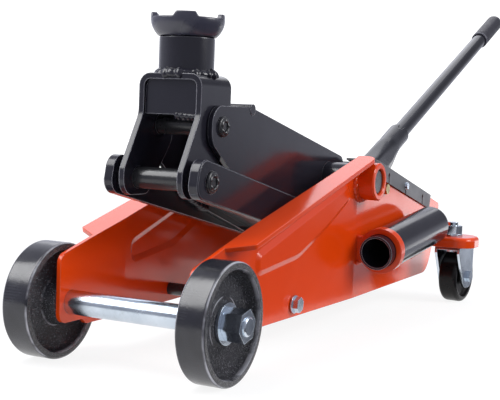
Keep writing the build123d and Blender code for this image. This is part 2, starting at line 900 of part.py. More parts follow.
holder_plane = extension_plane.offset(holder_setback)
foot_reach = extension_x - rear_outer
with BuildPart() as extension_holder:
    with BuildSketch(holder_plane):
        Circle(holder_radius)
        with Locations((-foot_reach, 0)):
            Rectangle(foot_reach, holder_foot_h, align=(Align.MIN, Align.CENTER))
        Circle(post_bore + loose, mode=Mode.SUBTRACT)
    extrude(amount=holder_length)
finish(extension_holder, "extension_holder")

# Rear cover: a sheet folded down over both plates,
# cut out at the front for the arm and at the rear for the socket
cover_length = hypot(cover_to_d - cover_from_d, cover_to_z - cover_from_z)
cover_half = rear_outer + side_gap + cover_t
cover_plane = Plane(
    origin=(0, along(cover_from_d), cover_from_z),
    x_dir=(1, 0, 0),
    z_dir=(0, -sin(cover_slope), cos(cover_slope)),
)
cover_slits = [0.204, 0.495, 0.817]
cover_screws = [cover_slits[1]]


def cover_screw_at(share):
    at = between((cover_from_d, cover_from_z), (cover_to_d, cover_to_z), share)
    return (along(at[0]), at[1] - cover_skirt * 0.5)


with BuildPart() as rear_cover:
    with BuildSketch(cover_plane):
        with BuildLine():
            FilletPolyline(
                (-cover_half, 0.0),
                (cover_half, 0.0),
                (cover_half, cover_length),
                (-cover_half, cover_length),
                radius=4.0,
                close=True,
            )
        make_face()
    extrude(amount=-cover_skirt)
    with BuildSketch(cover_plane.offset(-cover_t)):
        with Locations((0, cover_length / 2)):
            Rectangle(2 * (cover_half - cover_t), cover_length + 10.0)
    extrude(amount=-cover_skirt, mode=Mode.SUBTRACT)
    slot_from = (cover_slot_from_d - cover_from_d) / cos(cover_slope)
    notch_to = (cover_notch_to_d - cover_from_d) / cos(cover_slope)
    with BuildSketch(cover_plane):
        Rectangle(2 * (arm_outer + cover_notch_gap), 2 * notch_to)
        with Locations((0, slot_from)):
            Rectangle(
                2 * cover_slot_half,
                cover_length - slot_from + 10.0,
                align=(Align.CENTER, Align.MIN),
            )
    extrude(amount=-cover_skirt, mode=Mode.SUBTRACT)
    with BuildSketch(side_plane(-cover_half - 1.0)):
        for share in cover_slits:
            with Locations(cover_screw_at(share)):
                Circle(cover_screw_radius + running)
                Rectangle(cover_slit, cover_skirt, align=(Align.CENTER, Align.MAX))
    extrude(amount=2 * cover_half + 2.0, mode=Mode.SUBTRACT)
finish(rear_cover, "rear_cover")

with BuildPart() as cover_screw_set:
    for share in cover_screws:
        with BuildSketch(side_plane(rear_outer + running)):
            with Locations(cover_screw_at(share)):
                Circle(cover_screw_radius)
        extrude(amount=cover_half - rear_outer)
        with BuildSketch(side_plane(cover_half + running)):
            with Locations(cover_screw_at(share)):
                Circle(cover_screw_head)
        extrude(amount=cover_screw_h, taper=14)
    mirror(about=Plane.YZ)
finish(cover_screw_set, "cover_screws")

# Caster brackets: wings with a lip turned down, welded to the plates
with BuildPart() as caster_bracket_right:
    with BuildSketch(Plane.XY.offset(bracket_top_z)):
        with BuildLine():
            FilletPolyline(
                (rear_outer, along(stem_d - bracket_front)),
                (stem_x + bracket_reach, along(stem_d - bracket_front)),
                (stem_x + bracket_reach, along(stem_d + bracket_rear)),
                (rear_outer, along(stem_d + bracket_rear)),
                radius=[0, bracket_corner, bracket_corner, 0],
                close=True,
            )
        make_face()
    extrude(amount=-bracket_lip)
    with BuildSketch(Plane.XY.offset(bracket_top_z - bracket_t)):
        with BuildLine():
            FilletPolyline(
                (rear_outer, along(stem_d - bracket_front + bracket_t)),
                (stem_x + bracket_reach - bracket_t, along(stem_d - bracket_front + bracket_t)),
                (stem_x + bracket_reach - bracket_t, along(stem_d + bracket_rear - bracket_t)),
                (rear_outer, along(stem_d + bracket_rear - bracket_t)),
                radius=[0, bracket_corner - bracket_t, bracket_corner - bracket_t, 0],
                close=True,
            )
        make_face()
    extrude(amount=-bracket_lip, mode=Mode.SUBTRACT)
    with BuildSketch(Plane.XY.offset(bracket_top_z)):
        with Locations((stem_x, along(stem_d))):
            Circle(stem_radius + running)
    extrude(amount=-2 * bracket_t, mode=Mode.SUBTRACT)
    outer_top = caster_bracket_right.faces().filter_by(Axis.Z).sort_by(Axis.Z)[-1]
    outer_rim = outer_top.outer_wire().edges().filter_by(
        lambda e: e.center().X > rear_outer + 1.0
    )
    fillet(outer_rim, bracket_round)
    with BuildSketch(Plane.XZ.offset(-along(stem_d - bracket_front + bracket_t))):
        with BuildLine():
            Polyline(
                (rear_outer, bracket_top_z - bracket_lip),
                (rear_outer + gusset_reach, bracket_top_z - bracket_lip),
                (rear_outer, bracket_top_z - bracket_lip - gusset_drop),
                close=True,
            )
        make_face()
    extrude(amount=bracket_t)
finish(caster_bracket_right, "caster_bracket_right")
caster_bracket_left = mirrored(caster_bracket_right)
finish(caster_bracket_left, "caster_bracket_left")

# Caster stems: a bolt through the bracket, held by a washer and a hex nut on top
fork_top_z = bracket_top_z - bracket_lip - fork_drop
fork_plate_z = fork_top_z - fork_t
stem_foot_z = fork_plate_z - side_gap - 2.0
with BuildPart() as caster_stems:
    with BuildSketch(Plane.XY.offset(stem_foot_z)):
        with Locations((stem_x, along(stem_d))):
            Circle(stem_radius)
    extrude(amount=bracket_top_z + stem_washer_t + stem_nut_h + stem_stub - stem_foot_z)
    with BuildSketch(Plane.XY.offset(stem_foot_z)):
        with Locations((stem_x, along(stem_d))):
            Circle(stem_radius + 3.0)
    extrude(amount=2.0)
    with BuildSketch(Plane.XY.offset(bracket_top_z)):
        with Locations((stem_x, along(stem_d))):
            Circle(stem_washer_radius)
    extrude(amount=stem_washer_t)
    with BuildSketch(Plane.XY.offset(bracket_top_z + stem_washer_t)):
        with Locations((stem_x, along(stem_d))):
            RegularPolygon(stem_nut_flats / 2, 6, major_radius=False, rotation=8)
    extrude(amount=stem_nut_h)
    mirror(about=Plane.YZ)
finish(caster_stems, "caster_stems")

# Casters: a pressed fork turning on the stem, a tyred wheel and its axle bolt
leg_inner = caster_width / 2 + fork_gap
caster_half = leg_inner + fork_t


def caster_frame(side):
    yaw = radians(side * caster_yaw)
    return Plane(
        origin=(side * stem_x, along(stem_d), 0),
        x_dir=(cos(yaw), -sin(yaw), 0),
        z_dir=(0, 0, 1),
    )


def caster_side(frame, x):
    return Plane(
        origin=frame.from_local_coords((x, 0, 0)),
        x_dir=frame.y_dir,
        z_dir=frame.x_dir,
    )


def caster_fork(frame):
    with BuildPart() as fork:
        with BuildSketch(caster_side(frame, -caster_half)):
            with BuildLine():
                FilletPolyline(
                    (-fork_half_length, fork_top_z),
                    (-fork_half_length, fork_top_z - fork_t - 4.0),
                    (caster_trail - fork_foot, caster_radius - fork_foot),
                    (caster_trail + fork_foot, caster_radius - fork_foot),
                    (caster_trail + fork_foot * 1.05, fork_top_z),
                    radius=[2.0, 3.0, fork_foot - 1.0, fork_foot - 1.0, 2.0],
                    close=True,
                )
            make_face()
            with Locations((caster_trail, caster_radius)):
                Circle(caster_axle_radius + running, mode=Mode.SUBTRACT)
        extrude(amount=2 * caster_half)
        with BuildSketch(caster_side(frame, -leg_inner)):
            with Locations((0, fork_plate_z)):
                Rectangle(
                    6 * caster_radius,
                    2 * fork_top_z,
                    align=(Align.CENTER, Align.MAX),
                )
        extrude(amount=2 * leg_inner, mode=Mode.SUBTRACT)
        with BuildSketch(frame.offset(fork_top_z)):
            Circle(swivel_radius)
        extrude(amount=bracket_top_z - bracket_t - side_gap - fork_top_z)
        with BuildSketch(frame.offset(fork_plate_z - 1.0)):
            Circle(stem_radius + running)
        extrude(amount=bracket_top_z - fork_plate_z, mode=Mode.SUBTRACT)
    return fork


def caster_wheel(frame):
    half = caster_width / 2
    hub_half = leg_inner - side_gap
    rim = caster_radius - caster_tread
    wheel_plane = Plane(
        origin=frame.from_local_coords((0, caster_trail, caster_radius)),
        x_dir=frame.x_dir,
        z_dir=frame.y_dir * -1,
    )
    with BuildPart() as wheel:
        with BuildSketch(wheel_plane):
            with BuildLine():
                FilletPolyline(
                    (-hub_half, caster_axle_radius + running),
                    (hub_half, caster_axle_radius + running),
                    (hub_half, caster_hub_radius),
                    (half - 4.0, caster_hub_radius + 1.0),
                    (half - 4.0, rim - 1.0),
                    (half, rim),
                    (half, caster_radius),
                    (-half, caster_radius),
                    (-half, rim),
                    (-half + 4.0, rim - 1.0),
                    (-half + 4.0, caster_hub_radius + 1.0),
                    (-hub_half, caster_hub_radius),
                    radius=[0, 0, 0.8, 1.0, 1.0, 0.8, 4.5, 4.5, 0.8, 1.0, 1.0, 0.8],
                    close=True,
                )
            make_face()
        revolve(axis=Axis(wheel_plane.origin, frame.x_dir))
    return wheel


def caster_axle(frame):
    reach = caster_half + running
    with BuildPart() as bolt:
        with BuildSketch(caster_side(frame, -reach)):
            with Locations((caster_trail, caster_radius)):
                Circle(caster_axle_radius)
        extrude(amount=2 * reach)
        for start, height in ((reach, caster_axle_head_h), (-reach, -caster_axle_head_h)):
            with BuildSketch(caster_side(frame, start)):
                with Locations((caster_trail, caster_radius)):
                    RegularPolygon(caster_axle_head, 6, rotation=15)
            extrude(amount=height)
    return bolt


for side, name in ((1, "right"), (-1, "left")):
    frame = caster_frame(side)
    finish(caster_fork(frame), f"caster_fork_{name}")
    finish(caster_wheel(frame), f"caster_wheel_{name}")
    finish(caster_axle(frame), f"caster_axle_{name}")

# Ram: a clevis that pushes the ram pin, with a plate under it for the return springs
clevis_rear_d = ram_pin_at[0] + clevis_rear
slot_half = ram_pin_radius + ram_slack
slot_low = pivot_z - ram_lever - ram_pin_radius - ram_slack
slot_high = ram_z + clevis_half_h - 6.0
with BuildPart() as ram_clevis:
    with BuildSketch(side_plane(-clevis_half)):
        with BuildLine():
            FilletPolyline(
                *side_points([
                    (ram_pin_at[0] - clevis_front, ram_z - clevis_half_h),
                    (clevis_rear_d, ram_z - clevis_half_h),
                    (clevis_rear_d, ram_z + clevis_half_h),
                    (ram_pin_at[0] - clevis_front, ram_z + clevis_half_h),
                ]),
                radius=[10.0, 2.0, 8.0, 10.0],
                close=True,
            )
        make_face()
        with Locations((along(ram_pin_at[0]), (slot_low + slot_high) / 2)):
            SlotOverall(slot_high - slot_low, 2 * slot_half, rotation=90, mode=Mode.SUBTRACT)
    extrude(amount=2 * clevis_half)
    with BuildSketch(Plane.XZ.offset(-along(clevis_rear_d))):
        with BuildLine():
            FilletPolyline(
                (-spring_plate_half, spring_z - 9.0),
                (spring_plate_half, spring_z - 9.0),
                (spring_plate_half, ram_z - clevis_half_h + 8.0),
                (-spring_plate_half, ram_z - clevis_half_h + 8.0),
                radius=6.0,
                close=True,
            )
        make_face()
    extrude(amount=spring_plate_t)
finish(ram_clevis, "ram_clevis")

with BuildPart() as ram_piston_rod:
    with BuildSketch(Plane.XZ.offset(-along(block_front_d - 2.0))):
        with Locations((0, ram_z)):
            Circle(rod_radius)
    extrude(amount=block_front_d - 2.0 - clevis_rear_d)
finish(ram_piston_rod, "ram_piston_rod")

with BuildPart() as ram_cylinder:
    with BuildSketch(Plane.XZ.offset(-along(block_front_d))):
        with Locations((0, ram_z)):
            Circle(cylinder_radius)
    extrude(amount=block_front_d - cylinder_front_d)
    with BuildSketch(Plane.XZ.offset(-along(cylinder_front_d + cylinder_cap_length))):
        with Locations((0, ram_z)):
            RegularPolygon(cylinder_cap_radius, 6, rotation=30)
    extrude(amount=cylinder_cap_length)
    with BuildSketch(Plane.XZ.offset(-along(block_front_d))):
        with Locations((0, ram_z)):
            Circle(rod_radius + running)
    extrude(amount=block_front_d - cylinder_front_d, mode=Mode.SUBTRACT)
finish(ram_cylinder, "ram_cylinder")

# Pump block: a casting across the frame, with two ears for the handle pivot and a boss for the valve
plunger_top_z = handle_pivot_z + cam_reach * sin(radians(cam_lean)) - cam_radius - 0.4
valve_rear_d = handle_pivot_d - knuckle_radius - 1.0
with BuildPart() as pump_block:
    with BuildSketch(side_plane(-rear_half)):
        with BuildLine():
            FilletPolyline(
                *side_points([
                    (block_front_d, block_low_z),
                    (block_rear_d, block_low_z),
                    (block_rear_d, block_step_z),
                    (block_step_d, block_step_z),
                    (block_step_d, block_top_z),
                    (block_front_d, block_top_z),
                ]),
                radius=[4.0, 6.0, 6.0, 5.0, 4.0, 4.0],
                close=True,
            )
        make_face()
    extrude(amount=2 * rear_half)
    for side in (1, -1):
        with BuildSketch(side_plane(side * ear_inner)):
            with BuildLine():
                FilletPolyline(
                    *side_points([
                        (handle_pivot_d - ear_radius - 4.0, block_top_z - 6.0),
                        (handle_pivot_d - ear_radius, handle_pivot_z + ear_radius),
                        (handle_pivot_d + ear_radius, handle_pivot_z + ear_radius),
                        (block_step_d, block_top_z - 6.0),
                    ]),
                    radius=[0, ear_radius - 1.0, ear_radius - 1.0, 0],
                    close=True,
                )
            make_face()
            with Locations((along(handle_pivot_d), handle_pivot_z)):
                Circle(handle_pin_radius + running, mode=Mode.SUBTRACT)
        extrude(amount=side * ear_t)
    boss_rear = valve_rear_d - valve_boss_gap
    with BuildSketch(Plane.XZ.offset(-along(boss_rear))):
        with Locations((0, handle_pivot_z)):
            Circle(valve_boss_radius)
        with Locations((0, handle_pivot_z)):
            Rectangle(
                2 * valve_boss_radius,
                handle_pivot_z - block_top_z + 4.0,
                align=(Align.CENTER, Align.MAX),
            )
    extrude(amount=boss_rear - block_front_d)
    with BuildSketch(Plane.XZ.offset(-along(boss_rear))):
        with Locations((0, handle_pivot_z)):
            Circle(valve_radius + running)
    extrude(amount=boss_rear - block_front_d, mode=Mode.SUBTRACT)
    with BuildSketch(Plane.XY.offset(block_step_z)):
        with Locations((0, along(pump_axis_d))):
            Circle(plunger_radius + running)
    extrude(amount=-plunger_depth - 4.0, mode=Mode.SUBTRACT)
    with BuildSketch(Plane.XY.offset(block_step_z)):
        with Locations((0, along(pump_axis_d))):
            Circle(plunger_coil + plunger_wire + 2.0)
    extrude(amount=block_top_z, mode=Mode.SUBTRACT)
    with BuildSketch(Plane.XZ.offset(-along(block_front_d + ram_bore_depth))):
        with Locations((0, ram_z)):
            Circle(rod_radius + running)
    extrude(amount=ram_bore_depth, mode=Mode.SUBTRACT)
finish(pump_block, "pump_block")

with BuildPart() as plate_bolts:
    with BuildSketch(side_plane(rear_outer + running)):
        with Locations((along(plate_bolt_d), plate_bolt_z)):
            RegularPolygon(plate_bolt_flats / 2, 6, major_radius=False, rotation=10)
    extrude(amount=plate_bolt_head)
    with BuildSketch(side_plane(rear_half - plate_bolt_tail)):
        with Locations((along(plate_bolt_d), plate_bolt_z)):
            Circle(plate_bolt_radius)
    extrude(amount=rear_outer + running - rear_half + plate_bolt_tail)
    mirror(about=Plane.YZ)
finish(plate_bolts, "plate_bolts")

with BuildPart() as handle_pivot_pin:
    with BuildSketch(side_plane(0)):
        with Locations((along(handle_pivot_d), handle_pivot_z)):
            Circle(handle_pin_radius)
    extrude(amount=ear_inner + ear_t + 1.0, both=True)
finish(handle_pivot_pin, "handle_pivot_pin")

# Release valve spindle, with a flat yoke that faces the handle socket
with BuildPart() as release_valve:
    with BuildSketch(Plane.XZ.offset(-along(valve_rear_d - valve_yoke_length))):
        with Locations((0, handle_pivot_z)):
            Circle(valve_radius)
    extrude(amount=valve_rear_d - valve_yoke_length - block_front_d - 3.0)
    with BuildSketch(Plane.XZ.offset(-along(valve_rear_d))):
        with Locations((0, handle_pivot_z)):
            Circle(valve_yoke_radius)
            Rectangle(valve_radius, 3 * valve_yoke_radius, mode=Mode.SUBTRACT)
    extrude(amount=valve_yoke_length)
    with BuildSketch(Plane.XZ.offset(-along(valve_rear_d - valve_yoke_length))):
        with Locations((0, handle_pivot_z)):
            Circle(valve_yoke_radius)
    extrude(amount=2.0)
finish(release_valve, "release_valve")

# Pump plunger under the cam of the handle socket
with BuildPart() as pump_plunger:
    with BuildSketch(Plane.XY.offset(block_step_z - plunger_depth)):
        with Locations((0, along(pump_axis_d))):
            Circle(plunger_radius)
    extrude(amount=plunger_top_z - block_step_z + plunger_depth)
    with BuildSketch(Plane.XY.offset(plunger_top_z - plunger_head_h)):
        with Locations((0, along(pump_axis_d))):
            Circle(plunger_head_radius)
    extrude(amount=plunger_head_h)
    chamfer(pump_plunger.edges().group_by(Axis.Z)[-1], 1.0)
finish(pump_plunger, "pump_plunger")

# Handle: a socket on the pivot with a cam, a tube that turns in it and a knurled grip
lean = radians(handle_angle)
handle_plane = Plane(
    origin=(0, along(handle_pivot_d) - handle_rise * sin(lean), handle_pivot_z + handle_rise * cos(lean)),
    x_dir=(1, 0, 0),
    z_dir=(0, cos(lean), sin(lean)),
)
cam_at = (pump_axis_d, handle_pivot_z + cam_reach * sin(radians(cam_lean)))
cam_arm = cam_radius - 1.0
cam_mid = (
    (cam_at[0] + handle_pivot_d) / 2 - cam_arm / 2 * sin(radians(cam_lean)),
    (cam_at[1] + handle_pivot_z) / 2 + cam_arm / 2 * cos(radians(cam_lean)),
)
knuckle_half = ear_inner - side_gap


def on_handle(run, rise):
    return (
        handle_pivot_d + run * cos(lean) - (handle_rise + rise) * sin(lean),
        handle_pivot_z + run * sin(lean) + (handle_rise + rise) * cos(lean),
    )


# Yoke under the socket: its rear edge stands nearly upright and its top runs on from the tube
yoke_outline = [
    (handle_pivot_d - knuckle_radius + 2.0, handle_pivot_z),
    on_handle(30.0, socket_radius - 2.0),
    on_handle(socket_length - 12.0, socket_radius - 2.0),
    on_handle(socket_start + 2.0, 2.0 - socket_radius),
    (yoke_rear_d, yoke_low_z),
    (handle_pivot_d + knuckle_radius, handle_pivot_z),
]
yoke_radii = [0, 12.0, 0, 8.0, 8.0, 0]
with BuildPart() as handle_socket:
    with BuildSketch(side_plane(-knuckle_half)):
        with Locations((along(handle_pivot_d), handle_pivot_z)):
            Circle(knuckle_radius)
    extrude(amount=2 * knuckle_half)
    with BuildSketch(side_plane(-cam_half)):
        with Locations((along(cam_at[0]), cam_at[1])):
            Circle(cam_radius)
        with Locations((along(cam_mid[0]), cam_mid[1])):
            Rectangle(cam_reach, cam_arm, rotation=cam_lean)
    extrude(amount=2 * cam_half)
    with BuildSketch(side_plane(-yoke_half)):
        with BuildLine():
            FilletPolyline(*side_points(yoke_outline), radius=yoke_radii, close=True)
        make_face()
    extrude(amount=2 * yoke_half)
    with BuildSketch(handle_plane.offset(socket_start)):
        Circle(socket_radius)
    extrude(amount=socket_length - socket_start)
    with BuildSketch(handle_plane.offset(tube_start - side_gap)):
        Circle(tube_radius + running)
    extrude(amount=socket_length, mode=Mode.SUBTRACT)
    with BuildSketch(handle_plane.offset(socket_length - socket_notch_depth)):
        with Locations(Location((0, 0, 0), (0, 0, 1), -socket_notch_turn)):
            Rectangle(socket_notch, 2 * socket_radius, align=(Align.CENTER, Align.MIN))
    extrude(amount=2 * socket_notch_depth, mode=Mode.SUBTRACT)
    with BuildSketch(side_plane(-knuckle_half - 1.0)):
        with Locations((along(handle_pivot_d), handle_pivot_z)):
            Circle(handle_pin_radius + running)
    extrude(amount=2 * knuckle_half + 2.0, mode=Mode.SUBTRACT)
finish(handle_socket, "handle_socket")

with BuildPart() as handle_tube:
    with BuildSketch(handle_plane.offset(tube_start)):
        Circle(tube_radius)
        Circle(tube_radius - tube_wall, mode=Mode.SUBTRACT)
    extrude(amount=grip_to - 4.0 - tube_start)
finish(handle_tube, "handle_tube")

with BuildPart() as handle_grip:
    with BuildSketch(handle_plane.offset(grip_from)):
        Circle(grip_radius)
    extrude(amount=grip_to - grip_from)
    with BuildSketch(handle_plane.offset(grip_from)):
        Circle(tube_radius + running)
    extrude(amount=grip_to - 4.0 - grip_from, mode=Mode.SUBTRACT)
    grip_ends = handle_grip.edges().filter_by(
        lambda e: e.geom_type == GeomType.CIRCLE and abs(e.radius - grip_radius) < 0.01
    )
    fillet(grip_ends, 1.6)
finish(handle_grip, "handle_grip")


# Springs: one wire wound by a formula, each half turn made of two arcs
def biarc_middle(p0, t0, p1, t1):
    v = p1 - p0
    bend = 2 * (1 - t0.dot(t1))
    along_v = v.dot(t0 + t1)
    d = (sqrt(along_v * along_v + bend * v.dot(v)) - along_v) / bend
    middle = (p0 + p1) * 0.5 + (t0 - t1) * (d * 0.5)
    tangent = ((p1 - t1 * d) - (p0 + t0 * d)).normalized()
    return middle, tangent


def coil_stations(frame, length, coil, wire, turns):
    lead = 2 * wire
    rise = length - 2 * lead - 4 * wire
    pitch = rise / turns

    def at(a):
        return frame.from_local_coords(
            (coil * cos(a), coil * sin(a), lead + 2 * wire + pitch * a / (2 * pi))
        )

    def heading(a):
        slope = pitch / (2 * pi)
        tangent = frame.x_dir * (-coil * sin(a)) + frame.y_dir * (coil * cos(a)) + frame.z_dir * slope
        return tangent.normalized()

    angles = [pi * i for i in range(2 * turns + 1)]
    stations = [(at(a), heading(a)) for a in angles]
    foot = frame.from_local_coords((coil * cos(-0.9), coil * sin(-0.9), 0))
    head = frame.from_local_coords((coil * cos(0.9), coil * sin(0.9), length))
    start = (foot + frame.z_dir * lead, frame.z_dir)
    end = (head - frame.z_dir * lead, frame.z_dir)
    return foot, [start] + stations + [end], head


def least_gap(wire_line, wire, turns):
    steps = 24
    count = steps * (turns + 1)
    points = [wire_line.position_at(i / count) for i in range(count + 1)]
    nearest = min(
        (points[i] - points[j]).length
        for i in range(count + 1)
        for j in range(i + steps // 2, count + 1)
    )
    return nearest - 2 * wire


def spring(frame, length, coil, wire, turns, name):
    foot, stations, head = coil_stations(frame, length, coil, wire, turns)
    with BuildPart() as piece:
        with BuildLine() as path:
            Line(foot, stations[0][0])
            for (p0, t0), (p1, t1) in zip(stations, stations[1:]):
                middle, tangent = biarc_middle(p0, t0, p1, t1)
                TangentArc(p0, middle, tangent=t0)
                TangentArc(middle, p1, tangent=tangent)
            Line(stations[-1][0], head)
        with BuildSketch(Plane(origin=foot, z_dir=frame.z_dir)):
            Circle(wire)
        sweep(path=path.wires()[0])
    print(f"{name}: least gap {least_gap(path.wires()[0], wire, turns):.2f} mm")
    return piece


return_length = block_front_d - clevis_rear_d - 2 * side_gap
for side, name in ((1, "right"), (-1, "left")):
    return_plane = Plane(
        origin=(side * spring_x, along(clevis_rear_d + side_gap), spring_z),
        x_dir=(1, 0, 0),
        z_dir=(0, 1, 0),
    )
    piece = spring(return_plane, return_length, spring_coil, spring_wire, spring_turns, "return spring")
    finish(piece, f"return_spring_{name}")

plunger_plane = Plane(origin=(0, along(pump_axis_d), block_step_z + side_gap), z_dir=(0, 0, 1))
plunger_length = plunger_top_z - plunger_head_h - block_step_z - 2 * side_gap
plunger_spring = spring(
    plunger_plane, plunger_length, plunger_coil, plunger_wire, plunger_turns, "plunger spring"
)
finish(plunger_spring, "plunger_spring")
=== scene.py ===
import json
import math

import bpy
import numpy as np
from mathutils import Matrix, Vector


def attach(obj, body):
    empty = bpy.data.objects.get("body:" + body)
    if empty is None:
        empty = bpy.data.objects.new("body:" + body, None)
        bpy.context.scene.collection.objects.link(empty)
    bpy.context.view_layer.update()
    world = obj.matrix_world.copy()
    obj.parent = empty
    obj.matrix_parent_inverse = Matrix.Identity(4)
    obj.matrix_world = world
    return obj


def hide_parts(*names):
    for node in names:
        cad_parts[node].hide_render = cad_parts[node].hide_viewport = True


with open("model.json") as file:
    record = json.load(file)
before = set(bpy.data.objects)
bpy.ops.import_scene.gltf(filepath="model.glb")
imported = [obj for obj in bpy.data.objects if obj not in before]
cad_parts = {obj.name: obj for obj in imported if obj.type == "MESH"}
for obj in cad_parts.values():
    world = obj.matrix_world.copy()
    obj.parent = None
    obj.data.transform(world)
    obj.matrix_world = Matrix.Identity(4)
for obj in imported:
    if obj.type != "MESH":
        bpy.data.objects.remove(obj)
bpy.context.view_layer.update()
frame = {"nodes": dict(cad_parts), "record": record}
nodes = frame["nodes"]
print("frame loaded:", len(nodes), "nodes")

scene = bpy.context.scene
scene.view_settings.view_transform = "Standard"

# the places and shapes of pieces are in millimetres, counted along the jack from the front axle;
# the looks of materials, the radii of welds and the stage are in metres
perMetre = 1000.0
frontAxle = (0.0, -0.525, 0.05)
xAxis, yAxis, zAxis = np.eye(3)
bothSides = {"Right": 1.0, "Left": -1.0}

# the handle turns about its pivot, and its tube's axis rises a little above the line through the pivot
handleShape = {"pivot": (498.0, 129.0), "lean": math.radians(22.4), "rise": 11.2}
handleAxis = (0.0, math.cos(handleShape["lean"]), math.sin(handleShape["lean"]))

# mouth, step and tip: distances from the start, from the collar's end and back from the far end, each
# with its drop below the full radius; knurled rows start and stop clear of the step and the tip, and
# collar and cap are the lengths of the paler ends
gripShape = {
    "from": 552.0, "to": 651.0, "collar": 5.0, "cap": 9.0, "radius": 12.95, "bore": 10.7,
    "boreRuns": (8.0, 0.3), "mouth": ((0.0, 0.6), (0.6, 0.0)),
    "step": ((-0.5, 0.0), (0.0, 0.35), (0.7, 0.45)),
    "tip": ((3.6, 0.3), (2.6, 0.7), (1.7, 1.4), (1.0, 2.3), (0.5, 3.4), (0.15, 5.4), (0.0, 9.0)),
    "knurls": 34, "pitch": 2.4, "depth": 0.28, "sides": 204, "row": 0.55, "stepClear": 1.2, "tipClear": 4.0,
}


# a place in the frame, from millimetres across, back from the front axle and up
def at(x, along, height):
    return np.stack([x, frontAxle[1] * perMetre + along, height], axis=-1) / perMetre


# a place on the handle: run along its axis, rise square to it, both from the pivot
def onHandle(x, run, rise):
    lean = handleShape["lean"]
    along = handleShape["pivot"][0] + run * math.cos(lean) - rise * math.sin(lean)
    height = handleShape["pivot"][1] + run * math.sin(lean) + rise * math.cos(lean)
    return at(*np.broadcast_arrays(x, along, height))


# how far a run on the handle lies along its axis from the frame's origin, in metres
def alongHandle(run):
    return float(np.dot(handleAxis, onHandle(0.0, run, 0.0)))


# small helpers for shader trees
def addNode(tree, kind, values=None, **settings):
    made = tree.nodes.new(kind)
    for key, value in settings.items():
        setattr(made, key, value)
    for socket, value in (values or {}).items():
        if isinstance(value, bpy.types.NodeSocket):
            tree.links.new(value, made.inputs[socket])
        else:
            made.inputs[socket].default_value = value
    return made


def maths(tree, operation, *values):
    return addNode(tree, "ShaderNodeMath", dict(enumerate(values)), operation=operation).outputs[0]


def multiply(tree, first, second):
    return maths(tree, "MULTIPLY", first, second)


def vectorMaths(tree, operation, *values):
    return addNode(tree, "ShaderNodeVectorMath", dict(enumerate(values)), operation=operation).outputs


def noise(tree, place, scale, detail, rough=0.5):
    values = {"Vector": place, "Scale": scale, "Detail": detail, "Roughness": rough}
    return addNode(tree, "ShaderNodeTexNoise", values).outputs["Fac"]


def remap(tree, value, span, onto=(0.0, 1.0)):
    return addNode(tree, "ShaderNodeMapRange", dict(enumerate((value, *span, *onto)))).outputs[0]


# the mix node's sockets for colours: factor, first, second and result
mixSockets = {"factor": 0, "first": 6, "second": 7, "result": 2}


def mixColour(tree, factor, first, second):
    made = addNode(tree, "ShaderNodeMix", {mixSockets["factor"]: factor}, data_type="RGBA")
    for name, value in (("first", first), ("second", second)):
        socket = made.inputs[mixSockets[name]]
        if isinstance(value, bpy.types.NodeSocket):
            tree.links.new(value, socket)
        else:
            socket.default_value = (*value, 1.0)
    return made.outputs[mixSockets["result"]]


def bump(tree, height, strength, distance, normal):
    values = {"Height": height, "Strength": strength, "Distance": distance, "Normal": normal}
    return addNode(tree, "ShaderNodeBump", values).outputs["Normal"]


# samples for a rounded edge, and the range of 1 - cosine between the two normals over which it fades in
edgeSamples = 6
edgeSpan = (0.02, 0.25)


def softEdge(tree, radius):
    return addNode(tree, "ShaderNodeBevel", {"Radius": radius}, samples=edgeSamples).outputs["Normal"]


# 1 where the rounded normal leaves the true one, 0 on flats
def edgeMask(tree, radius):
    true = addNode(tree, "ShaderNodeNewGeometry").outputs["Normal"]
    dot = vectorMaths(tree, "DOT_PRODUCT", softEdge(tree, radius), true)["Value"]
    return remap(tree, maths(tree, "SUBTRACT", 1.0, dot), edgeSpan)


def newMaterial(name):
    material = bpy.data.materials.new(name)
    material.use_nodes = True
    tree = material.node_tree
    shader = next(n for n in tree.nodes if n.type == "BSDF_PRINCIPLED")
    place = addNode(tree, "ShaderNodeTexCoord").outputs["Object"]
    return material, tree, shader, place


def fillShader(tree, shader, colour, rough, normal):
    for socket, value in (("Base Color", colour), ("Roughness", rough), ("Normal", normal)):
        tree.links.new(value, shader.inputs[socket])


# what noise mostly spans, for grit in the gloss and for clouds of colour
gritSpan = (0.3, 0.7)
cloudSpan = (0.35, 0.65)


# roughness that varies about a middle value, between the two shares of it in gritSpread
def unevenGloss(tree, place, grain, scale, middle):
    low, high = grain["gritSpread"]
    grit = noise(tree, place, scale, grain["gritDetail"])
    return remap(tree, grit, gritSpan, (middle * low, middle * high))


enamelGrain = {
    "driftDetail": 2.0, "gritScale": 35.0, "gritDetail": 4.0, "gritSpread": (0.8, 1.25),
    "peelDetail": 2.0, "peelRough": 0.4, "peelHeight": 0.0006,
}


# enamel: a body colour that drifts a little, a painted highlight as a paler line on the edges, orange peel in
# the gloss
def enamel(name, look):
    material, tree, shader, place = newMaterial(name)
    grain = enamelGrain
    drift = remap(tree, noise(tree, place, look["driftScale"], grain["driftDetail"]), gritSpan)
    colour = mixColour(tree, drift, look["colour"], look["shade"])
    # painted highlight: the colour turns paler on the edges, where the rounded normal leaves the true one
    edge = multiply(tree, edgeMask(tree, look["edgeWidth"]), look["edgeHighlightAmount"])
    colour = mixColour(tree, edge, colour, look["edgeHighlightColour"])
    rough = unevenGloss(tree, place, grain, grain["gritScale"], look["rough"])
    peel = noise(tree, place, look["peelScale"], grain["peelDetail"], grain["peelRough"])
    normal = bump(tree, peel, look["peel"], grain["peelHeight"], softEdge(tree, look["edgeWidth"]))
    fillShader(tree, shader, colour, rough, normal)
    shader.inputs["Specular IOR Level"].default_value = look["specular"]
    return material


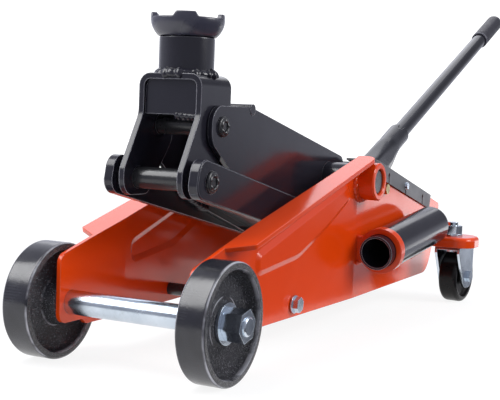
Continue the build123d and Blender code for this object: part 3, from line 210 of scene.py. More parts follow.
steelGrain = {
    "cloudDetail": 4.0, "cloudRough": 0.6, "stainTimes": 3.1, "stainDetail": 6.0, "stainRough": 0.7,
    "stainSpan": (0.56, 0.74), "gritTimes": 1.7, "gritDetail": 5.0, "gritSpread": (0.7, 1.4),
    "lineDetail": 3.0, "lineRough": 0.6, "lineHeight": 0.0004, "edgeWidth": 0.0006,
}


# plated or bare steel: cloudy reflectance, dull stains and fine unevenness
def steel(name, look):
    material, tree, shader, place = newMaterial(name)
    grain = steelGrain
    cloud = noise(tree, place, look["cloudScale"], grain["cloudDetail"], grain["cloudRough"])
    colour = mixColour(tree, remap(tree, cloud, cloudSpan), look["colour"], look["shade"])
    stainScale = look["cloudScale"] * grain["stainTimes"]
    stain = noise(tree, place, stainScale, grain["stainDetail"], grain["stainRough"])
    stain = remap(tree, stain, grain["stainSpan"], (0.0, look["stain"]))
    colour = mixColour(tree, stain, colour, look["stainColour"])
    rough = unevenGloss(tree, place, grain, look["cloudScale"] * grain["gritTimes"], look["rough"])
    lines = noise(tree, place, look["lineScale"], grain["lineDetail"], grain["lineRough"])
    normal = bump(tree, lines, look["lines"], grain["lineHeight"], softEdge(tree, grain["edgeWidth"]))
    fillShader(tree, shader, colour, rough, normal)
    shader.inputs["Metallic"].default_value = 1.0
    return material


ironGrain = {
    "cloudScale": 25.0, "cloudDetail": 4.0, "glintDetail": 2.0, "glintSpan": (0.60, 0.68),
    "patchScale": 45.0, "patchDetail": 4.0, "patchSpan": (0.38, 0.56), "lineSpan": (0.0002, 0.0007),
    "scuffAndHighlightScale": 60.0, "scuffAndHighlightDetail": 4.0, "scuffAndHighlightSpan": (0.3, 0.55), "scuffAndHighlightWidth": 0.0014, "treadBlend": 0.002,
    "gritScale": 60.0, "gritDetail": 5.0, "gritSpread": (0.75, 1.4),
    "rippleScale": 70.0, "rippleDetail": 3.0, "ripple": 0.10, "rippleHeight": 0.0016, "edgeWidth": 0.0008,
    "sandDetail": 4.0, "sandRough": 0.6, "sandHeight": 0.0022,
}


# distance from an axle that runs along X
def axleRadius(tree, place, axle):
    fromAxle = vectorMaths(tree, "SUBTRACT", place, axle)["Vector"]
    across = vectorMaths(tree, "MULTIPLY", fromAxle, tuple(yAxis + zAxis))["Vector"]
    return vectorMaths(tree, "LENGTH", across)["Value"]


# painted glints as pale flecks on the web, and painted highlights as broken pale lines at the radii of the
# hub and rim edges
def wheelHighlights(tree, place, look, radius, web, colour):
    grain = ironGrain
    # painted glints: pale flecks mixed into the web's colour
    glint = noise(tree, place, look["glintScale"], grain["glintDetail"])
    glint = remap(tree, glint, grain["glintSpan"], (0.0, look["glint"]))
    colour = mixColour(tree, multiply(tree, glint, web), colour, look["scuffAndHighlightColour"])
    patchy = remap(tree, noise(tree, place, grain["patchScale"], grain["patchDetail"]), grain["patchSpan"])
    # painted highlights: pale broken lines at the hub and rim edges
    for lineRadius in look["highlightRadii"]:
        apart = maths(tree, "ABSOLUTE", maths(tree, "SUBTRACT", radius, lineRadius))
        line = remap(tree, apart, grain["lineSpan"], (look["scuffAndHighlightAmount"], 0.0))
        colour = mixColour(tree, multiply(tree, line, patchy), colour, look["scuffAndHighlightColour"])
    return colour


# cast iron under a dark coat with a paler line on the edges, partly wear and partly painted highlight, with
# sand-cast grain; a wheel's tread is smooth
def castIron(name, look):
    material, tree, shader, place = newMaterial(name)
    grain = ironGrain
    cloud = remap(tree, noise(tree, place, grain["cloudScale"], grain["cloudDetail"]), cloudSpan)
    colour = mixColour(tree, cloud, look["colour"], look["shade"])
    sandShare = look["sand"]
    if "treadRadius" in look:
        radius = axleRadius(tree, place, look["axle"])
        treadSpan = (look["treadRadius"] - grain["treadBlend"], look["treadRadius"])
        web = remap(tree, radius, treadSpan, (1.0, 0.0))
        sandShare = remap(tree, web, (0.0, 1.0), (look["treadSand"], look["sand"]))
        colour = wheelHighlights(tree, place, look, radius, web, colour)
    # paler edges: partly wear of the coat and partly a painted highlight
    scuffAndHighlight = noise(tree, place, grain["scuffAndHighlightScale"], grain["scuffAndHighlightDetail"])
    scuffAndHighlight = remap(tree, scuffAndHighlight, grain["scuffAndHighlightSpan"], (0.0, look["scuffAndHighlightAmount"]))
    scuffAndHighlightAmount = multiply(tree, edgeMask(tree, grain["scuffAndHighlightWidth"]), scuffAndHighlight)
    colour = mixColour(tree, scuffAndHighlightAmount, colour, look["scuffAndHighlightColour"])
    rough = unevenGloss(tree, place, grain, grain["gritScale"], look["rough"])
    ripple = noise(tree, place, grain["rippleScale"], grain["rippleDetail"])
    edge = softEdge(tree, grain["edgeWidth"])
    normal = bump(tree, ripple, grain["ripple"], grain["rippleHeight"], edge)
    sand = noise(tree, place, look["sandScale"], grain["sandDetail"], grain["sandRough"])
    normal = bump(tree, sand, sandShare, grain["sandHeight"], normal)
    fillShader(tree, shader, colour, rough, normal)
    shader.inputs["Specular IOR Level"].default_value = look["specular"]
    return material


rubberGrain = {
    "cloudScale": 70.0, "cloudDetail": 5.0, "cloudRough": 0.65, "cloudSpan": (0.35, 0.7),
    "gritScale": 120.0, "gritDetail": 4.0, "gritSpread": (0.85, 1.15),
    "poreScale": 1400.0, "poreDetail": 3.0, "poreHeight": 0.0003, "edgeWidth": 0.0008,
    "collarBlend": 0.0006, "tipBlend": 0.002,
}


# moulded rubber or plastic with fine pores; a grip has a paler collar and tip along its axis
def rubber(name, look):
    material, tree, shader, place = newMaterial(name)
    grain = rubberGrain
    cloud = noise(tree, place, grain["cloudScale"], grain["cloudDetail"], grain["cloudRough"])
    colour = mixColour(tree, remap(tree, cloud, grain["cloudSpan"]), look["colour"], look["shade"])
    if "bandAxis" in look:
        run = vectorMaths(tree, "DOT_PRODUCT", place, look["bandAxis"])["Value"]
        collarSpan = (look["collarEnd"], look["collarEnd"] + grain["collarBlend"])
        collar = remap(tree, run, collarSpan, (1.0, 0.0))
        tip = remap(tree, run, (look["tipStart"], look["tipStart"] + grain["tipBlend"]))
        colour = mixColour(tree, maths(tree, "MAXIMUM", collar, tip), colour, look["bandColour"])
    rough = unevenGloss(tree, place, grain, grain["gritScale"], look["rough"])
    pores = noise(tree, place, grain["poreScale"], grain["poreDetail"])
    normal = bump(tree, pores, look["pores"], grain["poreHeight"], softEdge(tree, grain["edgeWidth"]))
    fillShader(tree, shader, colour, rough, normal)
    shader.inputs["Specular IOR Level"].default_value = look["specular"]
    return material


# the edge colour and amount in these enamel looks are a painted highlight on the edges
framePaintLook = {
    "colour": (0.74, 0.062, 0.004), "shade": (0.69, 0.050, 0.003), "driftScale": 5.0,
    "edgeHighlightColour": (0.86, 0.20, 0.10), "edgeHighlightAmount": 0.35, "edgeWidth": 0.0012,
    "rough": 0.14, "specular": 0.42, "peelScale": 260.0, "peel": 0.04,
}
armPaintLook = {
    "colour": (0.0125, 0.0121, 0.0185), "shade": (0.0160, 0.0156, 0.0225), "driftScale": 9.0,
    "edgeHighlightColour": (0.52, 0.52, 0.57), "edgeHighlightAmount": 0.85, "edgeWidth": 0.0012,
    "rough": 0.17, "specular": 0.5, "peelScale": 240.0, "peel": 0.06,
}
coverPaintLook = {
    "colour": (0.105, 0.105, 0.112), "shade": (0.085, 0.085, 0.092), "driftScale": 12.0,
    "edgeHighlightColour": (0.30, 0.30, 0.31), "edgeHighlightAmount": 0.5, "edgeWidth": 0.0008,
    "rough": 0.40, "specular": 0.5, "peelScale": 500.0, "peel": 0.05,
}
handlePaintLook = {
    "colour": (0.0075, 0.0075, 0.0115), "shade": (0.0110, 0.0110, 0.0160), "driftScale": 10.0,
    "edgeHighlightColour": (0.12, 0.12, 0.13), "edgeHighlightAmount": 0.5, "edgeWidth": 0.0008,
    "rough": 0.15, "specular": 0.65, "peelScale": 420.0, "peel": 0.04,
}
saddlePaintLook = {
    "colour": (0.025, 0.025, 0.040), "shade": (0.036, 0.036, 0.055), "driftScale": 24.0,
    "edgeHighlightColour": (0.30, 0.30, 0.33), "edgeHighlightAmount": 0.6, "edgeWidth": 0.0010,
    "rough": 0.30, "specular": 0.7, "peelScale": 120.0, "peel": 0.20,
}
darkSteelLook = {
    "colour": (0.020, 0.020, 0.022), "shade": (0.012, 0.012, 0.014), "driftScale": 60.0,
    "edgeHighlightColour": (0.12, 0.12, 0.12), "edgeHighlightAmount": 0.5, "edgeWidth": 0.0008,
    "rough": 0.24, "specular": 0.6, "peelScale": 420.0, "peel": 0.10,
}
zincLook = {
    "colour": (0.69, 0.76, 0.84), "shade": (0.54, 0.61, 0.69), "cloudScale": 26.0,
    "stain": 0.35, "stainColour": (0.34, 0.36, 0.40), "rough": 0.20, "lineScale": 320.0, "lines": 0.10,
}
bareSteelLook = {
    "colour": (0.42, 0.42, 0.43), "shade": (0.32, 0.32, 0.33), "cloudScale": 40.0,
    "stain": 0.3, "stainColour": (0.22, 0.20, 0.18), "rough": 0.28, "lineScale": 500.0, "lines": 0.12,
}
yellowZincLook = {
    "colour": (0.62, 0.50, 0.22), "shade": (0.46, 0.36, 0.18), "cloudScale": 90.0,
    "stain": 0.3, "stainColour": (0.30, 0.24, 0.18), "rough": 0.30, "lineScale": 500.0, "lines": 0.12,
}
# the wheel's pale lines at the hub and rim radii and its flecks are painted highlights and glints; its paler
# edges are partly wear and partly painted highlight
wheelLook = {
    "colour": (0.0075, 0.0075, 0.0120), "shade": (0.014, 0.014, 0.021), "rough": 0.18, "specular": 0.7,
    "scuffAndHighlightAmount": 0.9, "scuffAndHighlightColour": (0.42, 0.42, 0.45), "highlightRadii": (0.0215, 0.0439, 0.0493),
    "sandScale": 700.0, "sand": 0.9, "axle": frontAxle, "treadRadius": 0.0492, "treadSand": 0.02,
    "glintScale": 900.0, "glint": 0.32,
}
unitLook = {
    "colour": (0.05, 0.05, 0.05), "shade": (0.08, 0.078, 0.075), "rough": 0.55, "specular": 0.4,
    "scuffAndHighlightAmount": 0.2, "scuffAndHighlightColour": (0.30, 0.30, 0.31), "sandScale": 500.0, "sand": 0.3,
}
tyreLook = {
    "colour": (0.0050, 0.0045, 0.0048), "shade": (0.008, 0.007, 0.007),
    "rough": 0.30, "specular": 0.2, "pores": 0.05,
}
gripLook = {
    "colour": (0.017, 0.016, 0.023), "shade": (0.026, 0.025, 0.034),
    "rough": 0.40, "specular": 0.5, "pores": 0.3,
    "bandAxis": handleAxis, "bandColour": (0.075, 0.075, 0.092),
    "collarEnd": alongHandle(gripShape["from"] + gripShape["collar"]),
    "tipStart": alongHandle(gripShape["to"] - gripShape["cap"]),
}

finishes = {
    "frame_paint": enamel("framePaint", framePaintLook),
    "arm_paint": enamel("armPaint", armPaintLook),
    "cover_paint": enamel("coverPaint", coverPaintLook),
    "handle_paint": enamel("handlePaint", handlePaintLook),
    "wheel_iron": castIron("wheelIron", wheelLook),
    "unit_iron": castIron("unitIron", unitLook),
    "zinc_steel": steel("zincSteel", zincLook),
    "dark_steel": enamel("darkSteel", darkSteelLook),
    "bare_steel": steel("bareSteel", bareSteelLook),
    "yellow_zinc": steel("yellowZinc", yellowZincLook),
    "caster_tyre": rubber("casterTyre", tyreLook),
    "grip_rubber": rubber("gripRubber", gripLook),
}
for entry in frame["record"]["subparts"]:
    mesh = nodes[entry["node"]].data
    mesh.materials.clear()
    mesh.materials.append(finishes[entry["material_slot"]])
print("finishes:", len(finishes))


# rings: an array of shape (rows, columns, 3); columns wrap round, rows may wrap too, and an open
# first or last row is closed by one middle point; faces are turned outwards by the signed volume
def gridMesh(name, rings, wrapRows=False):
    rows, columns = rings.shape[:2]
    points = rings.reshape(-1, 3)
    row = np.arange(rows if wrapRows else rows - 1)[:, None] * columns
    nextRow = (row + columns) % (rows * columns)
    here = np.arange(columns)
    there = (here + 1) % columns
    corners = (row + here, row + there, nextRow + there, nextRow + here)
    faces = np.stack(corners, axis=-1).reshape(-1, 4)
    caps = np.zeros((0, 3), dtype=int)
    if not wrapRows:
        points = np.vstack([points, rings[0].mean(axis=0), rings[-1].mean(axis=0)])
        last = (rows - 1) * columns
        first = np.stack([there, here, np.full(columns, rows * columns)], axis=-1)
        end = np.stack([last + here, last + there, np.full(columns, rows * columns + 1)], axis=-1)
        caps = np.vstack([first, end])
    triangles = np.vstack([faces[:, [0, 1, 2]], faces[:, [0, 2, 3]], caps])
    a, b, c = (points[triangles[:, corner]] for corner in range(3))
    if np.einsum("ij,ij->", a, np.cross(b, c)) < 0:
        faces, caps = faces[:, ::-1], caps[:, ::-1]
    mesh = bpy.data.meshes.new(name)
    mesh.from_pydata(points.tolist(), [], faces.tolist() + caps.tolist())
    mesh.polygons.foreach_set("use_smooth", np.ones(len(mesh.polygons), dtype=bool))
    mesh.update()
    return mesh


def gridPiece(name, rings, body, slotName, wrapRows=False, replaced=()):
    mesh = gridMesh(name, rings, wrapRows)
    mesh.materials.append(finishes[slotName])
    piece = bpy.data.objects.new(name, mesh)
    scene.collection.objects.link(piece)
    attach(piece, body)
    if replaced:
        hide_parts(*replaced)
    return piece


def unit(vectors):
    return vectors / np.linalg.norm(vectors, axis=-1, keepdims=True)


def fullTurn(count):
    return np.linspace(0.0, 2 * np.pi, count, endpoint=False)


weldShape = {"sides": 10, "valley": 0.8, "lean": 0.7, "beat": 9.4, "endRows": 2.0, "endShare": 0.35}


# weld bead: a round section along a path, widened across it, of radius
# radius (1 + uneven sin(2 pi (swells t + seed)) cos(beat swells t + seed)) (valley + crest |ripple|)
# with ripple = sin(pi ripples t + lean cos phi); open ends start at endShare of that radius
def weldBead(name, path, outward, look, body, slotName, closed=False):
    count = len(path)
    t = np.linspace(0.0, 1.0, count, endpoint=not closed)[:, None]
    phi = fullTurn(weldShape["sides"])[None, :]
    ahead = np.gradient(path, axis=0)
    if closed:
        ahead = np.roll(path, -1, axis=0) - np.roll(path, 1, axis=0)
    ahead = unit(ahead)
    out = unit(outward - ahead * np.sum(outward * ahead, axis=-1, keepdims=True))
    across = np.cross(ahead, out)
    slow = look["swells"] * t
    swell = np.sin(2 * np.pi * (slow + look["seed"])) * np.cos(weldShape["beat"] * slow + look["seed"])
    ripple = np.abs(np.sin(np.pi * look["ripples"] * t + weldShape["lean"] * np.cos(phi)))
    radius = look["radius"] * (1.0 + look["uneven"] * swell) * (weldShape["valley"] + look["crest"] * ripple)
    if not closed:
        ends = np.minimum(t, 1.0 - t) * count / weldShape["endRows"] + weldShape["endShare"]
        radius = radius * np.clip(ends, 0.0, 1.0)
    rise = (radius * np.cos(phi))[..., None] * out[:, None, :]
    width = (radius * np.sin(phi) * look["wide"])[..., None] * across[:, None, :]
    gridPiece(name, path[:, None, :] + rise + width, body, slotName, wrapRows=closed)


# a bead on a circle, centre + ring * around, where around = first cos a + second sin a goes about the
# axis; its crest points along spread * around + tilt * axis
def ringWeld(name, look, body, slotName, side=1.0):
    x, along, height = look["centre"]
    turn = fullTurn(look["points"])[:, None]
    around = np.cos(turn) * np.roll(look["axis"], 1) + np.sin(turn) * np.roll(look["axis"], 2)
    path = at(side * x, along, height) + look["ring"] * around
    outward = look["spread"] * around + side * look["tilt"] * look["axis"]
    weldBead(name, path, outward, look, body, slotName, closed=True)


# a bead on a line, start (1 - t) + end t, mirrored in X for the left side
def straightWeld(name, look, body, slotName, side=1.0):
    mirror = np.array([side, 1.0, 1.0])
    t = np.linspace(0.0, 1.0, look["points"])[:, None]
    path = (at(*look["start"]) * (1 - t) + at(*look["end"]) * t) * mirror
    outward = np.tile(np.array(look["outward"]) * mirror, (look["points"], 1))
    weldBead(name, path, outward, look, body, slotName)


postWeldLook = {
    "centre": (0.0, 73.0, 247.6), "axis": zAxis, "ring": 0.0248, "points": 160, "spread": 1.0, "tilt": 0.8,
    "radius": 0.0027, "wide": 1.5, "ripples": 23, "swells": 5, "uneven": 0.35, "seed": 0.2, "crest": 0.40,
}
facePlateWeldLook = {
    "start": (3.0, 52.8, 211.0), "end": (25.0, 52.8, 210.0), "points": 60, "outward": (0.0, -0.4, -1.0),
    "radius": 0.0036, "wide": 1.5, "ripples": 4, "swells": 2, "uneven": 0.10, "seed": 0.5, "crest": 0.06,
}
bossWeldLook = {
    "centre": (75.4, 312.0, 150.0), "axis": xAxis, "ring": 0.0202, "points": 140, "spread": 1.0, "tilt": 0.8,
    "radius": 0.0024, "wide": 1.3, "ripples": 21, "swells": 3, "uneven": 0.25, "seed": 0.1, "crest": 0.30,
}
bracketWeldLook = {
    "start": (75.6, 485.5, 80.6), "end": (75.6, 534.0, 80.6), "points": 70, "outward": (0.8, 0.0, 1.0),
    "radius": 0.0022, "wide": 1.2, "ripples": 13, "swells": 3, "uneven": 0.3, "seed": 0.7, "crest": 0.30,
}
holderWeldLook = {
    "points": 30, "radius": 0.0020, "wide": 1.2, "ripples": 5, "swells": 1, "uneven": 0.3, "seed": 0.4,
    "crest": 0.30,
}
holderUpperLook = {
    **holderWeldLook, "start": (75.8, 304.0, 91.2), "end": (75.8, 317.0, 90.0), "outward": (0.8, 0.0, 1.0),
}
holderLowerLook = {
    **holderWeldLook, "start": (75.8, 304.0, 65.2), "end": (75.8, 317.0, 64.0), "outward": (0.8, 0.0, -1.0),
}
seamWeldLook = {
    "x": 34.4, "along": (120.0, 140.0, 152.0, 164.0, 178.0), "height": (148.0, 136.3, 129.6, 125.0, 120.9),
    "points": 120, "outward": (0.0, -0.5, -0.87),
    "radius": 0.0030, "wide": 1.2, "ripples": 25, "swells": 5, "uneven": 0.4, "seed": 0.3, "crest": 0.50,
}
peenLook = {
    "axis": xAxis, "points": 90, "spread": 0.3, "tilt": 1.0,
    "radius": 0.0011, "wide": 1.6, "ripples": 7, "swells": 2, "uneven": 0.45, "seed": 0.15, "crest": 0.30,
}
pinLooks = {
    "upperPin": {**peenLook, "centre": (39.0, 76.0, 203.0), "ring": 0.0055},
    "lowerPin": {**peenLook, "centre": (49.0, 42.0, 157.0), "ring": 0.0060},
}

ringWeld("postWeld", postWeldLook, "head", "arm_paint")
straightWeld("facePlateWeld", facePlateWeldLook, "head", "arm_paint")
for label, side in bothSides.items():
    ringWeld("bossWeld" + label, bossWeldLook, "frame", "frame_paint", side)
    straightWeld("bracketWeld" + label, bracketWeldLook, "frame", "frame_paint", side)
straightWeld("holderWeldUpper", holderUpperLook, "frame", "frame_paint")
straightWeld("holderWeldLower", holderLowerLook, "frame", "frame_paint")


# the seam under the arm, along the lower edge of an arm plate: straight stretches between the points
def seamWeld(name, look, side):
    run = np.linspace(look["along"][0], look["along"][-1], look["points"])
    height = np.interp(run, look["along"], look["height"])
    path = at(np.full(run.shape, side * look["x"]), run, height)
    outward = np.tile(look["outward"], (look["points"], 1))
    weldBead(name, path, outward, look, "lift_arm", "arm_paint")


for label, side in bothSides.items():
    seamWeld("seamWeld" + label, seamWeldLook, side)

# peened rings on the ends of the two head pins
for name, look in pinLooks.items():
    for label, side in bothSides.items():
        ringWeld(name + label, look, "head", "dark_steel", side)

# edge: how far each point of the rounded rim is inset and dropped, and its share of the lug's rise
saddleShape = {
    "axis": 73.0, "stem": 255.5, "stemBore": 12.0, "stemRadius": 16.0, "foot": 279.3, "footRadius": 25.0,
    "footStep": (0.6, 0.4), "radius": 32.0, "inner": 26.8, "floor": 286.3, "rim": 295.0, "wallDrop": 1.6,
    "outPower": 0.8, "inPower": 1.6, "rows": 12, "sides": 288,
    "edge": ((0.0, 0.9, 0.9), (0.3, 0.2, 1.0), (0.8, 0.0, 1.0)),
    "lugs": 4, "lug": 4.0, "lugWidth": 21.0, "shoulder": 4.0, "lead": 0.35, "turn": math.radians(-62.9),
}


# saddle: a turned cup whose wall flares as sin(pi k / 2)^outPower and whose hollow falls as
# (1 - k)^inPower; z = profile + share * lug * (3 s^2 - 2 s^3), where s falls from 1 to 0 over the
# shoulder with the distance round the rim from the middle of the nearest lug
def makeSaddle(shape):
    foot, rim, radius, inner = (shape[key] for key in ("foot", "rim", "radius", "inner"))
    footRadius = shape["footRadius"]
    stepIn, stepDown = shape["footStep"]
    top = rim - shape["wallDrop"]
    k = np.linspace(0.0, 1.0, shape["rows"])
    flare = footRadius + (radius - footRadius) * np.sin(np.pi / 2 * k) ** shape["outPower"]
    outside = np.stack([flare, foot + (top - foot) * k, 0 * k], axis=-1)
    hollow = shape["floor"] + (top - shape["floor"]) * (1 - k) ** shape["inPower"]
    inside = np.stack([inner * np.cos(np.pi / 2 * k), hollow, 0 * k], axis=-1)[:-1]
    stem = [
        (shape["stemBore"], shape["stem"], 0.0), (shape["stemRadius"], shape["stem"], 0.0),
        (shape["stemRadius"], foot - stepDown, 0.0), (footRadius - stepIn, foot, 0.0),
    ]
    outEdge = [(radius - inset, rim - drop, share) for inset, drop, share in shape["edge"]]
    inEdge = [(inner + inset, rim - drop, share) for inset, drop, share in shape["edge"][::-1]]
    profile = np.vstack([stem, outside, outEdge, inEdge, inside])
    distance, height, share = (profile[:, [column]] for column in range(3))
    turn = fullTurn(shape["sides"])[None, :]
    period = 2 * np.pi / shape["lugs"]
    away = np.abs((turn - shape["turn"] + period / 2) % period - period / 2) * radius
    s = np.clip((shape["lugWidth"] / 2 - away) / shape["shoulder"] + shape["lead"], 0.0, 1.0)
    height = height + share * shape["lug"] * (3 * s ** 2 - 2 * s ** 3)
    return at(distance * np.cos(turn), shape["axis"] + distance * np.sin(turn), height)


saddleCup = gridPiece("saddleCup", makeSaddle(saddleShape), "saddle_body", "arm_paint", replaced=["saddle"])
saddleCup.data.materials[0] = enamel("saddlePaint", saddlePaintLook)

# rim: station and share of the full section as the end turns over; bore: stations back down the bore;
# top, low, half and power: stations and the section's upper and lower edge, half width and exponent
socketShape = {
    "yoke": (-9.0, -7.0, -3.0, 3.0, 10.0, 18.0, 26.0, 36.0, 48.0, 60.0, 70.0, 78.0),
    "tubeFrom": 84.0, "tubeTo": 138.0, "tubeStep": 6.0,
    "rim": ((142.0, 1.0), (145.0, 1.0), (147.0, 1.0), (148.5, 1.0), (149.4, 0.985), (150.0, 0.95)),
    "bore": (150.0, 149.4, 147.0, 142.0, 132.0, 123.0), "boreLip": 0.03, "boreRadius": 10.75, "radius": 14.25,
    "top": (
        (-9.0, -7.0, -3.0, 3.0, 10.0, 18.0, 26.0, 36.0, 60.0, 96.0),
        (4.0, 6.2, 9.0, 12.0, 15.6, 20.0, 22.6, 23.4, 23.6, 25.45),
    ),
    "low": (
        (-9.0, -7.0, -3.0, 3.0, 10.0, 60.0, 80.0, 88.0, 112.0, 120.0),
        (2.0, -1.0, -4.0, -5.2, -5.2, -11.0, -13.2, -12.6, -4.6, -3.05),
    ),
    "half": ((60.0, 104.0), (12.0, 14.25)),
    "power": ((40.0, 76.0, 104.0), (6.0, 3.4, 2.0)),
    "sides": 120, "notchWidth": 7.0, "notchDepth": 10.0, "notchTurn": math.radians(62.0), "notchEdge": 0.08,
    "notchFrom": 126.0, "notchRun": 16.0,
}


# socket: superellipse sections |x/a|^p + |u/b|^p = 1 from a flat yoke at the pivot to a round tube
# at the end, which turns over its rim and runs back down the bore; the rim dips at one notch
def makeSocket(shape):
    tube = np.arange(shape["tubeFrom"], shape["tubeTo"] + shape["tubeStep"], shape["tubeStep"])
    rim, rimShare = np.array(shape["rim"]).T
    runs = np.concatenate([shape["yoke"], tube, rim, shape["bore"]])
    boreShare = np.full(len(shape["bore"]), shape["boreRadius"] / shape["radius"])
    boreShare[0] += shape["boreLip"]
    share = np.concatenate([np.ones(len(shape["yoke"]) + len(tube)), rimShare, boreShare])[:, None]
    runs = runs[:, None]
    top, low, half, power = (np.interp(runs, *shape[key]) for key in ("top", "low", "half", "power"))
    turn = fullTurn(shape["sides"])[None, :]
    x = np.sign(np.cos(turn)) * np.abs(np.cos(turn)) ** (2 / power)
    u = np.sign(np.sin(turn)) * np.abs(np.sin(turn)) ** (2 / power)
    away = np.abs((turn - shape["notchTurn"] + np.pi) % (2 * np.pi) - np.pi)
    halfNotch = shape["notchWidth"] / 2 / shape["radius"]
    dip = shape["notchDepth"] * np.clip((halfNotch - away) / shape["notchEdge"] + 0.5, 0.0, 1.0)
    reach = np.clip((runs - shape["notchFrom"]) / shape["notchRun"], 0.0, 1.0)
    rise = (top + low) / 2 + (top - low) / 2 * u * share
    return onHandle(half * x * share, runs - dip * reach, rise)


gridPiece("socketBody", makeSocket(socketShape), "handle_base", "handle_paint", replaced=["handle_socket"])

# side: x and radius from the bore over the rounded edge to the outside, the same at both ends
knuckleShape = {"side": ((20.7, 6.05), (20.7, 10.2), (20.4, 10.7), (19.8, 11.0)), "sides": 48}


# knuckle: radii against x, turned about the handle's pivot
def makeKnuckle(shape):
    right = np.array(shape["side"])
    profile = np.vstack([right * (-1.0, 1.0), right[::-1]])
    x, radius = profile[:, [0]], profile[:, [1]]
    turn = fullTurn(shape["sides"])[None, :]
    along, height = handleShape["pivot"]
    return at(*np.broadcast_arrays(x, along + radius * np.cos(turn), height + radius * np.sin(turn)))


gridPiece("socketKnuckle", makeKnuckle(knuckleShape), "handle_base", "handle_paint", wrapRows=True)

camShape = {
    "lobe": (519.9, 119.2), "armHalf": 2.2, "lobeRadius": 7.0, "half": 8.0, "nearPoints": 16, "farPoints": 40,
}


# cam: a round lobe, end + lobeRadius (cos a, sin a), on a thin arm from the pivot, x from -half to half
def makeCam(shape):
    start, end = np.array(handleShape["pivot"]), np.array(shape["lobe"])
    lean = math.atan2(end[1] - start[1], end[0] - start[0])
    meet = np.pi - math.asin(shape["armHalf"] / shape["lobeRadius"])
    near = lean + np.linspace(np.pi / 2, 3 * np.pi / 2, shape["nearPoints"])[:, None]
    far = lean + np.linspace(-meet, meet, shape["farPoints"])[:, None]
    outline = np.vstack([
        start + shape["armHalf"] * np.hstack([np.cos(near), np.sin(near)]),
        end + shape["lobeRadius"] * np.hstack([np.cos(far), np.sin(far)]),
    ])
    x = shape["half"] * np.array([-1.0, 1.0])[:, None]
    return at(*np.broadcast_arrays(x, outline[None, :, 0], outline[None, :, 1]))


gridPiece("pumpCam", makeCam(camShape), "handle_base", "handle_paint")


# grip: radius - drop - depth (1 - max(|sin(n a / 2 + pi s / pitch)|, |sin(n a / 2 - pi s / pitch)|)),
# with turn a and run s: a diamond knurl between a plain collar and a rounded tip
def makeGrip(shape):
    wall = shape["radius"] - shape["bore"]
    bore = [(run, wall) for run in shape["boreRuns"]]
    step = [(shape["collar"] + run, drop) for run, drop in shape["step"]]
    startRuns, startDrops = np.array([*bore, *shape["mouth"], *step]).T
    endRuns, endDrops = np.array(shape["tip"]).T
    firstRow = shape["from"] + shape["collar"] + shape["stepClear"]
    rows = np.arange(firstRow, shape["to"] - shape["tipClear"], shape["row"])
    run = np.concatenate([shape["from"] + startRuns, rows, shape["to"] - endRuns])[:, None]
    drop = np.concatenate([startDrops, 0 * rows, endDrops])[:, None]
    knurled = np.concatenate([0 * startRuns, np.ones(len(rows)), 0 * endRuns])[:, None]
    turn = fullTurn(shape["sides"])[None, :]
    around = shape["knurls"] / 2 * turn
    along = np.pi * run / shape["pitch"]
    diamond = np.maximum(np.abs(np.sin(around + along)), np.abs(np.sin(around - along)))
    distance = shape["radius"] - drop - shape["depth"] * knurled * (1.0 - diamond)
    return onHandle(distance * np.cos(turn), run, handleShape["rise"] + distance * np.sin(turn))


gridPiece("gripSleeve", makeGrip(gripShape), "handle_lever", "grip_rubber", replaced=["handle_grip"])
print("handle pieces made")

# the photographed view: azimuth from -Y towards +X, then elevation and a small roll
cameraView = {
    "place": (0.4767, -1.2515, 0.2145), "azimuth": 27.13, "elevation": 4.6, "roll": 2.25,
    "lens": 76.5, "sensor": 36.0,
}


def placeCamera(view):
    azimuth, elevation, roll = (math.radians(view[key]) for key in ("azimuth", "elevation", "roll"))
    levelBack = Vector((math.sin(azimuth), -math.cos(azimuth), 0.0))
    back = levelBack * math.cos(elevation) + Vector(zAxis) * math.sin(elevation)
    levelRight = Vector((math.cos(azimuth), math.sin(azimuth), 0.0))
    levelUp = back.cross(levelRight)
    right = levelRight * math.cos(roll) + levelUp * math.sin(roll)
    up = levelUp * math.cos(roll) - levelRight * math.sin(roll)
    data = bpy.data.cameras.new("photoCamera")
    data.lens = view["lens"]
    data.sensor_width = view["sensor"]
    camera = bpy.data.objects.new("photoCamera", data)
    turn = Matrix((right, up, back)).transposed().to_4x4()
    camera.matrix_world = Matrix.Translation(view["place"]) @ turn
    scene.collection.objects.link(camera)
    scene.camera = camera


placeCamera(cameraView)

# soft boxes: one high at the front left, one high behind on the left, one high on the right, and a
# small dim one low behind on the right, past the floor's edge
lamps = {
    "highFront": {"at": (-0.85, -1.25, 1.5), "aim": (0.0, -0.4, 0.1), "size": (1.1, 1.5), "power": 30.0},
    "highBack": {"at": (-0.75, 1.5, 1.5), "aim": (0.0, -0.1, 0.12), "size": (2.0, 1.3), "power": 7.0},
    "lowRight": {"at": (0.52, 1.53, -0.07), "aim": (0.07, -0.1, 0.1), "size": (0.42, 0.20), "power": 0.46},
    "highRight": {"at": (1.6, 0.15, 1.0), "aim": (0.05, -0.1, 0.1), "size": (0.9, 0.9), "power": 22.0},
}


def placeLamps(setup):
    for name, lamp in setup.items():
        data = bpy.data.lights.new(name, "AREA")
        data.shape = "RECTANGLE"
        data.size, data.size_y = lamp["size"]
        data.energy = lamp["power"]
        made = bpy.data.objects.new(name, data)
        made.location = lamp["at"]
        towards = Vector(lamp["aim"]) - Vector(lamp["at"])
        made.rotation_euler = towards.to_track_quat("-Z", "Y").to_euler()
        scene.collection.objects.link(made)


placeLamps(lamps)

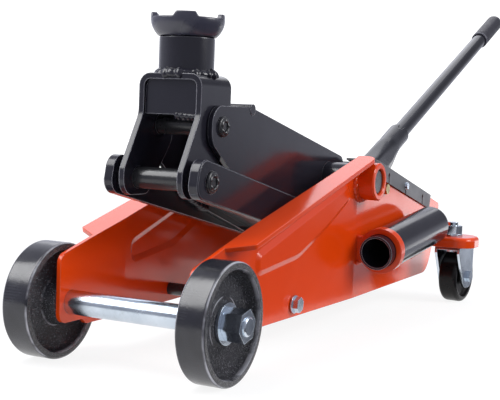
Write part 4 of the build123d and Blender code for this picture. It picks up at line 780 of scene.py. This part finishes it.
# the studio around is white for the camera; light and reflections see it brightest behind the jack,
# where the camera looks, dimmer where the camera stands, and darker in a gap high behind and in a zone
# low on the right; fill and seen are its strengths for plain light and for reflections
worldLook = {
    "tint": (0.85, 0.87, 1.0), "fill": 1.3, "seen": 1.0,
    "zones": {
        "back": {"towards": (-0.55, 0.80, 0.24), "span": (0.74, 0.86), "levels": (0.68, 1.0)},
        "dim": {"towards": (0.456, -0.890, 0.0), "span": (-0.1, 0.6), "levels": (1.0, 0.55)},
        "gap": {"towards": (0.235, 0.875, 0.423), "span": (0.92, 0.97), "levels": (1.0, 0.35)},
    },
    "dark": {
        "towards": (0.78, 0.315, -0.54), "span": (0.650, 0.680), "below": (-0.04, 0.02), "levels": (1.0, 0.2),
    },
}


def makeWorld(look):
    world = bpy.data.worlds.new("studio")
    world.use_nodes = True
    tree = world.node_tree
    tree.nodes.clear()
    path = addNode(tree, "ShaderNodeLightPath").outputs
    way = addNode(tree, "ShaderNodeTexCoord").outputs["Generated"]

    def facing(direction):
        return vectorMaths(tree, "DOT_PRODUCT", way, direction)["Value"]

    dark = look["dark"]
    aside = remap(tree, facing(dark["towards"]), dark["span"])
    low = remap(tree, facing(tuple(zAxis)), dark["below"], (1.0, 0.0))
    surround = remap(tree, multiply(tree, aside, low), (0.0, 1.0), dark["levels"])
    for zone in look["zones"].values():
        level = remap(tree, facing(zone["towards"]), zone["span"], zone["levels"])
        surround = multiply(tree, surround, level)
    reflected = maths(tree, "MAXIMUM", path["Is Glossy Ray"], path["Is Transmission Ray"])
    level = multiply(tree, surround, remap(tree, reflected, (0.0, 1.0), (look["fill"], look["seen"])))
    strength = maths(tree, "MAXIMUM", level, path["Is Camera Ray"])
    colour = mixColour(tree, path["Is Camera Ray"], look["tint"], (1.0, 1.0, 1.0))
    light = addNode(tree, "ShaderNodeBackground", {"Color": colour, "Strength": strength})
    out = addNode(tree, "ShaderNodeOutputWorld")
    tree.links.new(light.outputs[0], out.inputs[0])
    scene.world = world


makeWorld(worldLook)

# the pale sheet that the jack stands on: near white to the camera and in reflections, with the shadow kept
floorLook = {
    "low": (-1.6, -1.4), "high": (0.16, 1.5), "colour": (0.96, 0.96, 0.96), "glow": 1.04, "share": 0.84,
}


def makeFloor(look):
    left, front = look["low"]
    right, back = look["high"]
    corners = [(left, front, 0.0), (right, front, 0.0), (right, back, 0.0), (left, back, 0.0)]
    mesh = bpy.data.meshes.new("floor")
    mesh.from_pydata(corners, [], [range(len(corners))])
    floor = bpy.data.objects.new("floor", mesh)
    scene.collection.objects.link(floor)
    material = bpy.data.materials.new("floor")
    material.use_nodes = True
    tree = material.node_tree
    tree.nodes.clear()
    path = addNode(tree, "ShaderNodeLightPath").outputs
    matt = addNode(tree, "ShaderNodeBsdfDiffuse", {"Color": (*look["colour"], 1.0)})
    glow = addNode(tree, "ShaderNodeEmission", {"Color": (1.0, 1.0, 1.0, 1.0), "Strength": look["glow"]})
    seen = path["Is Camera Ray"]
    for kind in ("Is Glossy Ray", "Is Transmission Ray"):
        seen = maths(tree, "MAXIMUM", seen, path[kind])
    share = multiply(tree, seen, look["share"])
    mix = addNode(tree, "ShaderNodeMixShader", {0: share, 1: matt.outputs[0], 2: glow.outputs[0]})
    out = addNode(tree, "ShaderNodeOutputMaterial")
    tree.links.new(mix.outputs[0], out.inputs[0])
    mesh.materials.append(material)


makeFloor(floorLook)
print("stage set")
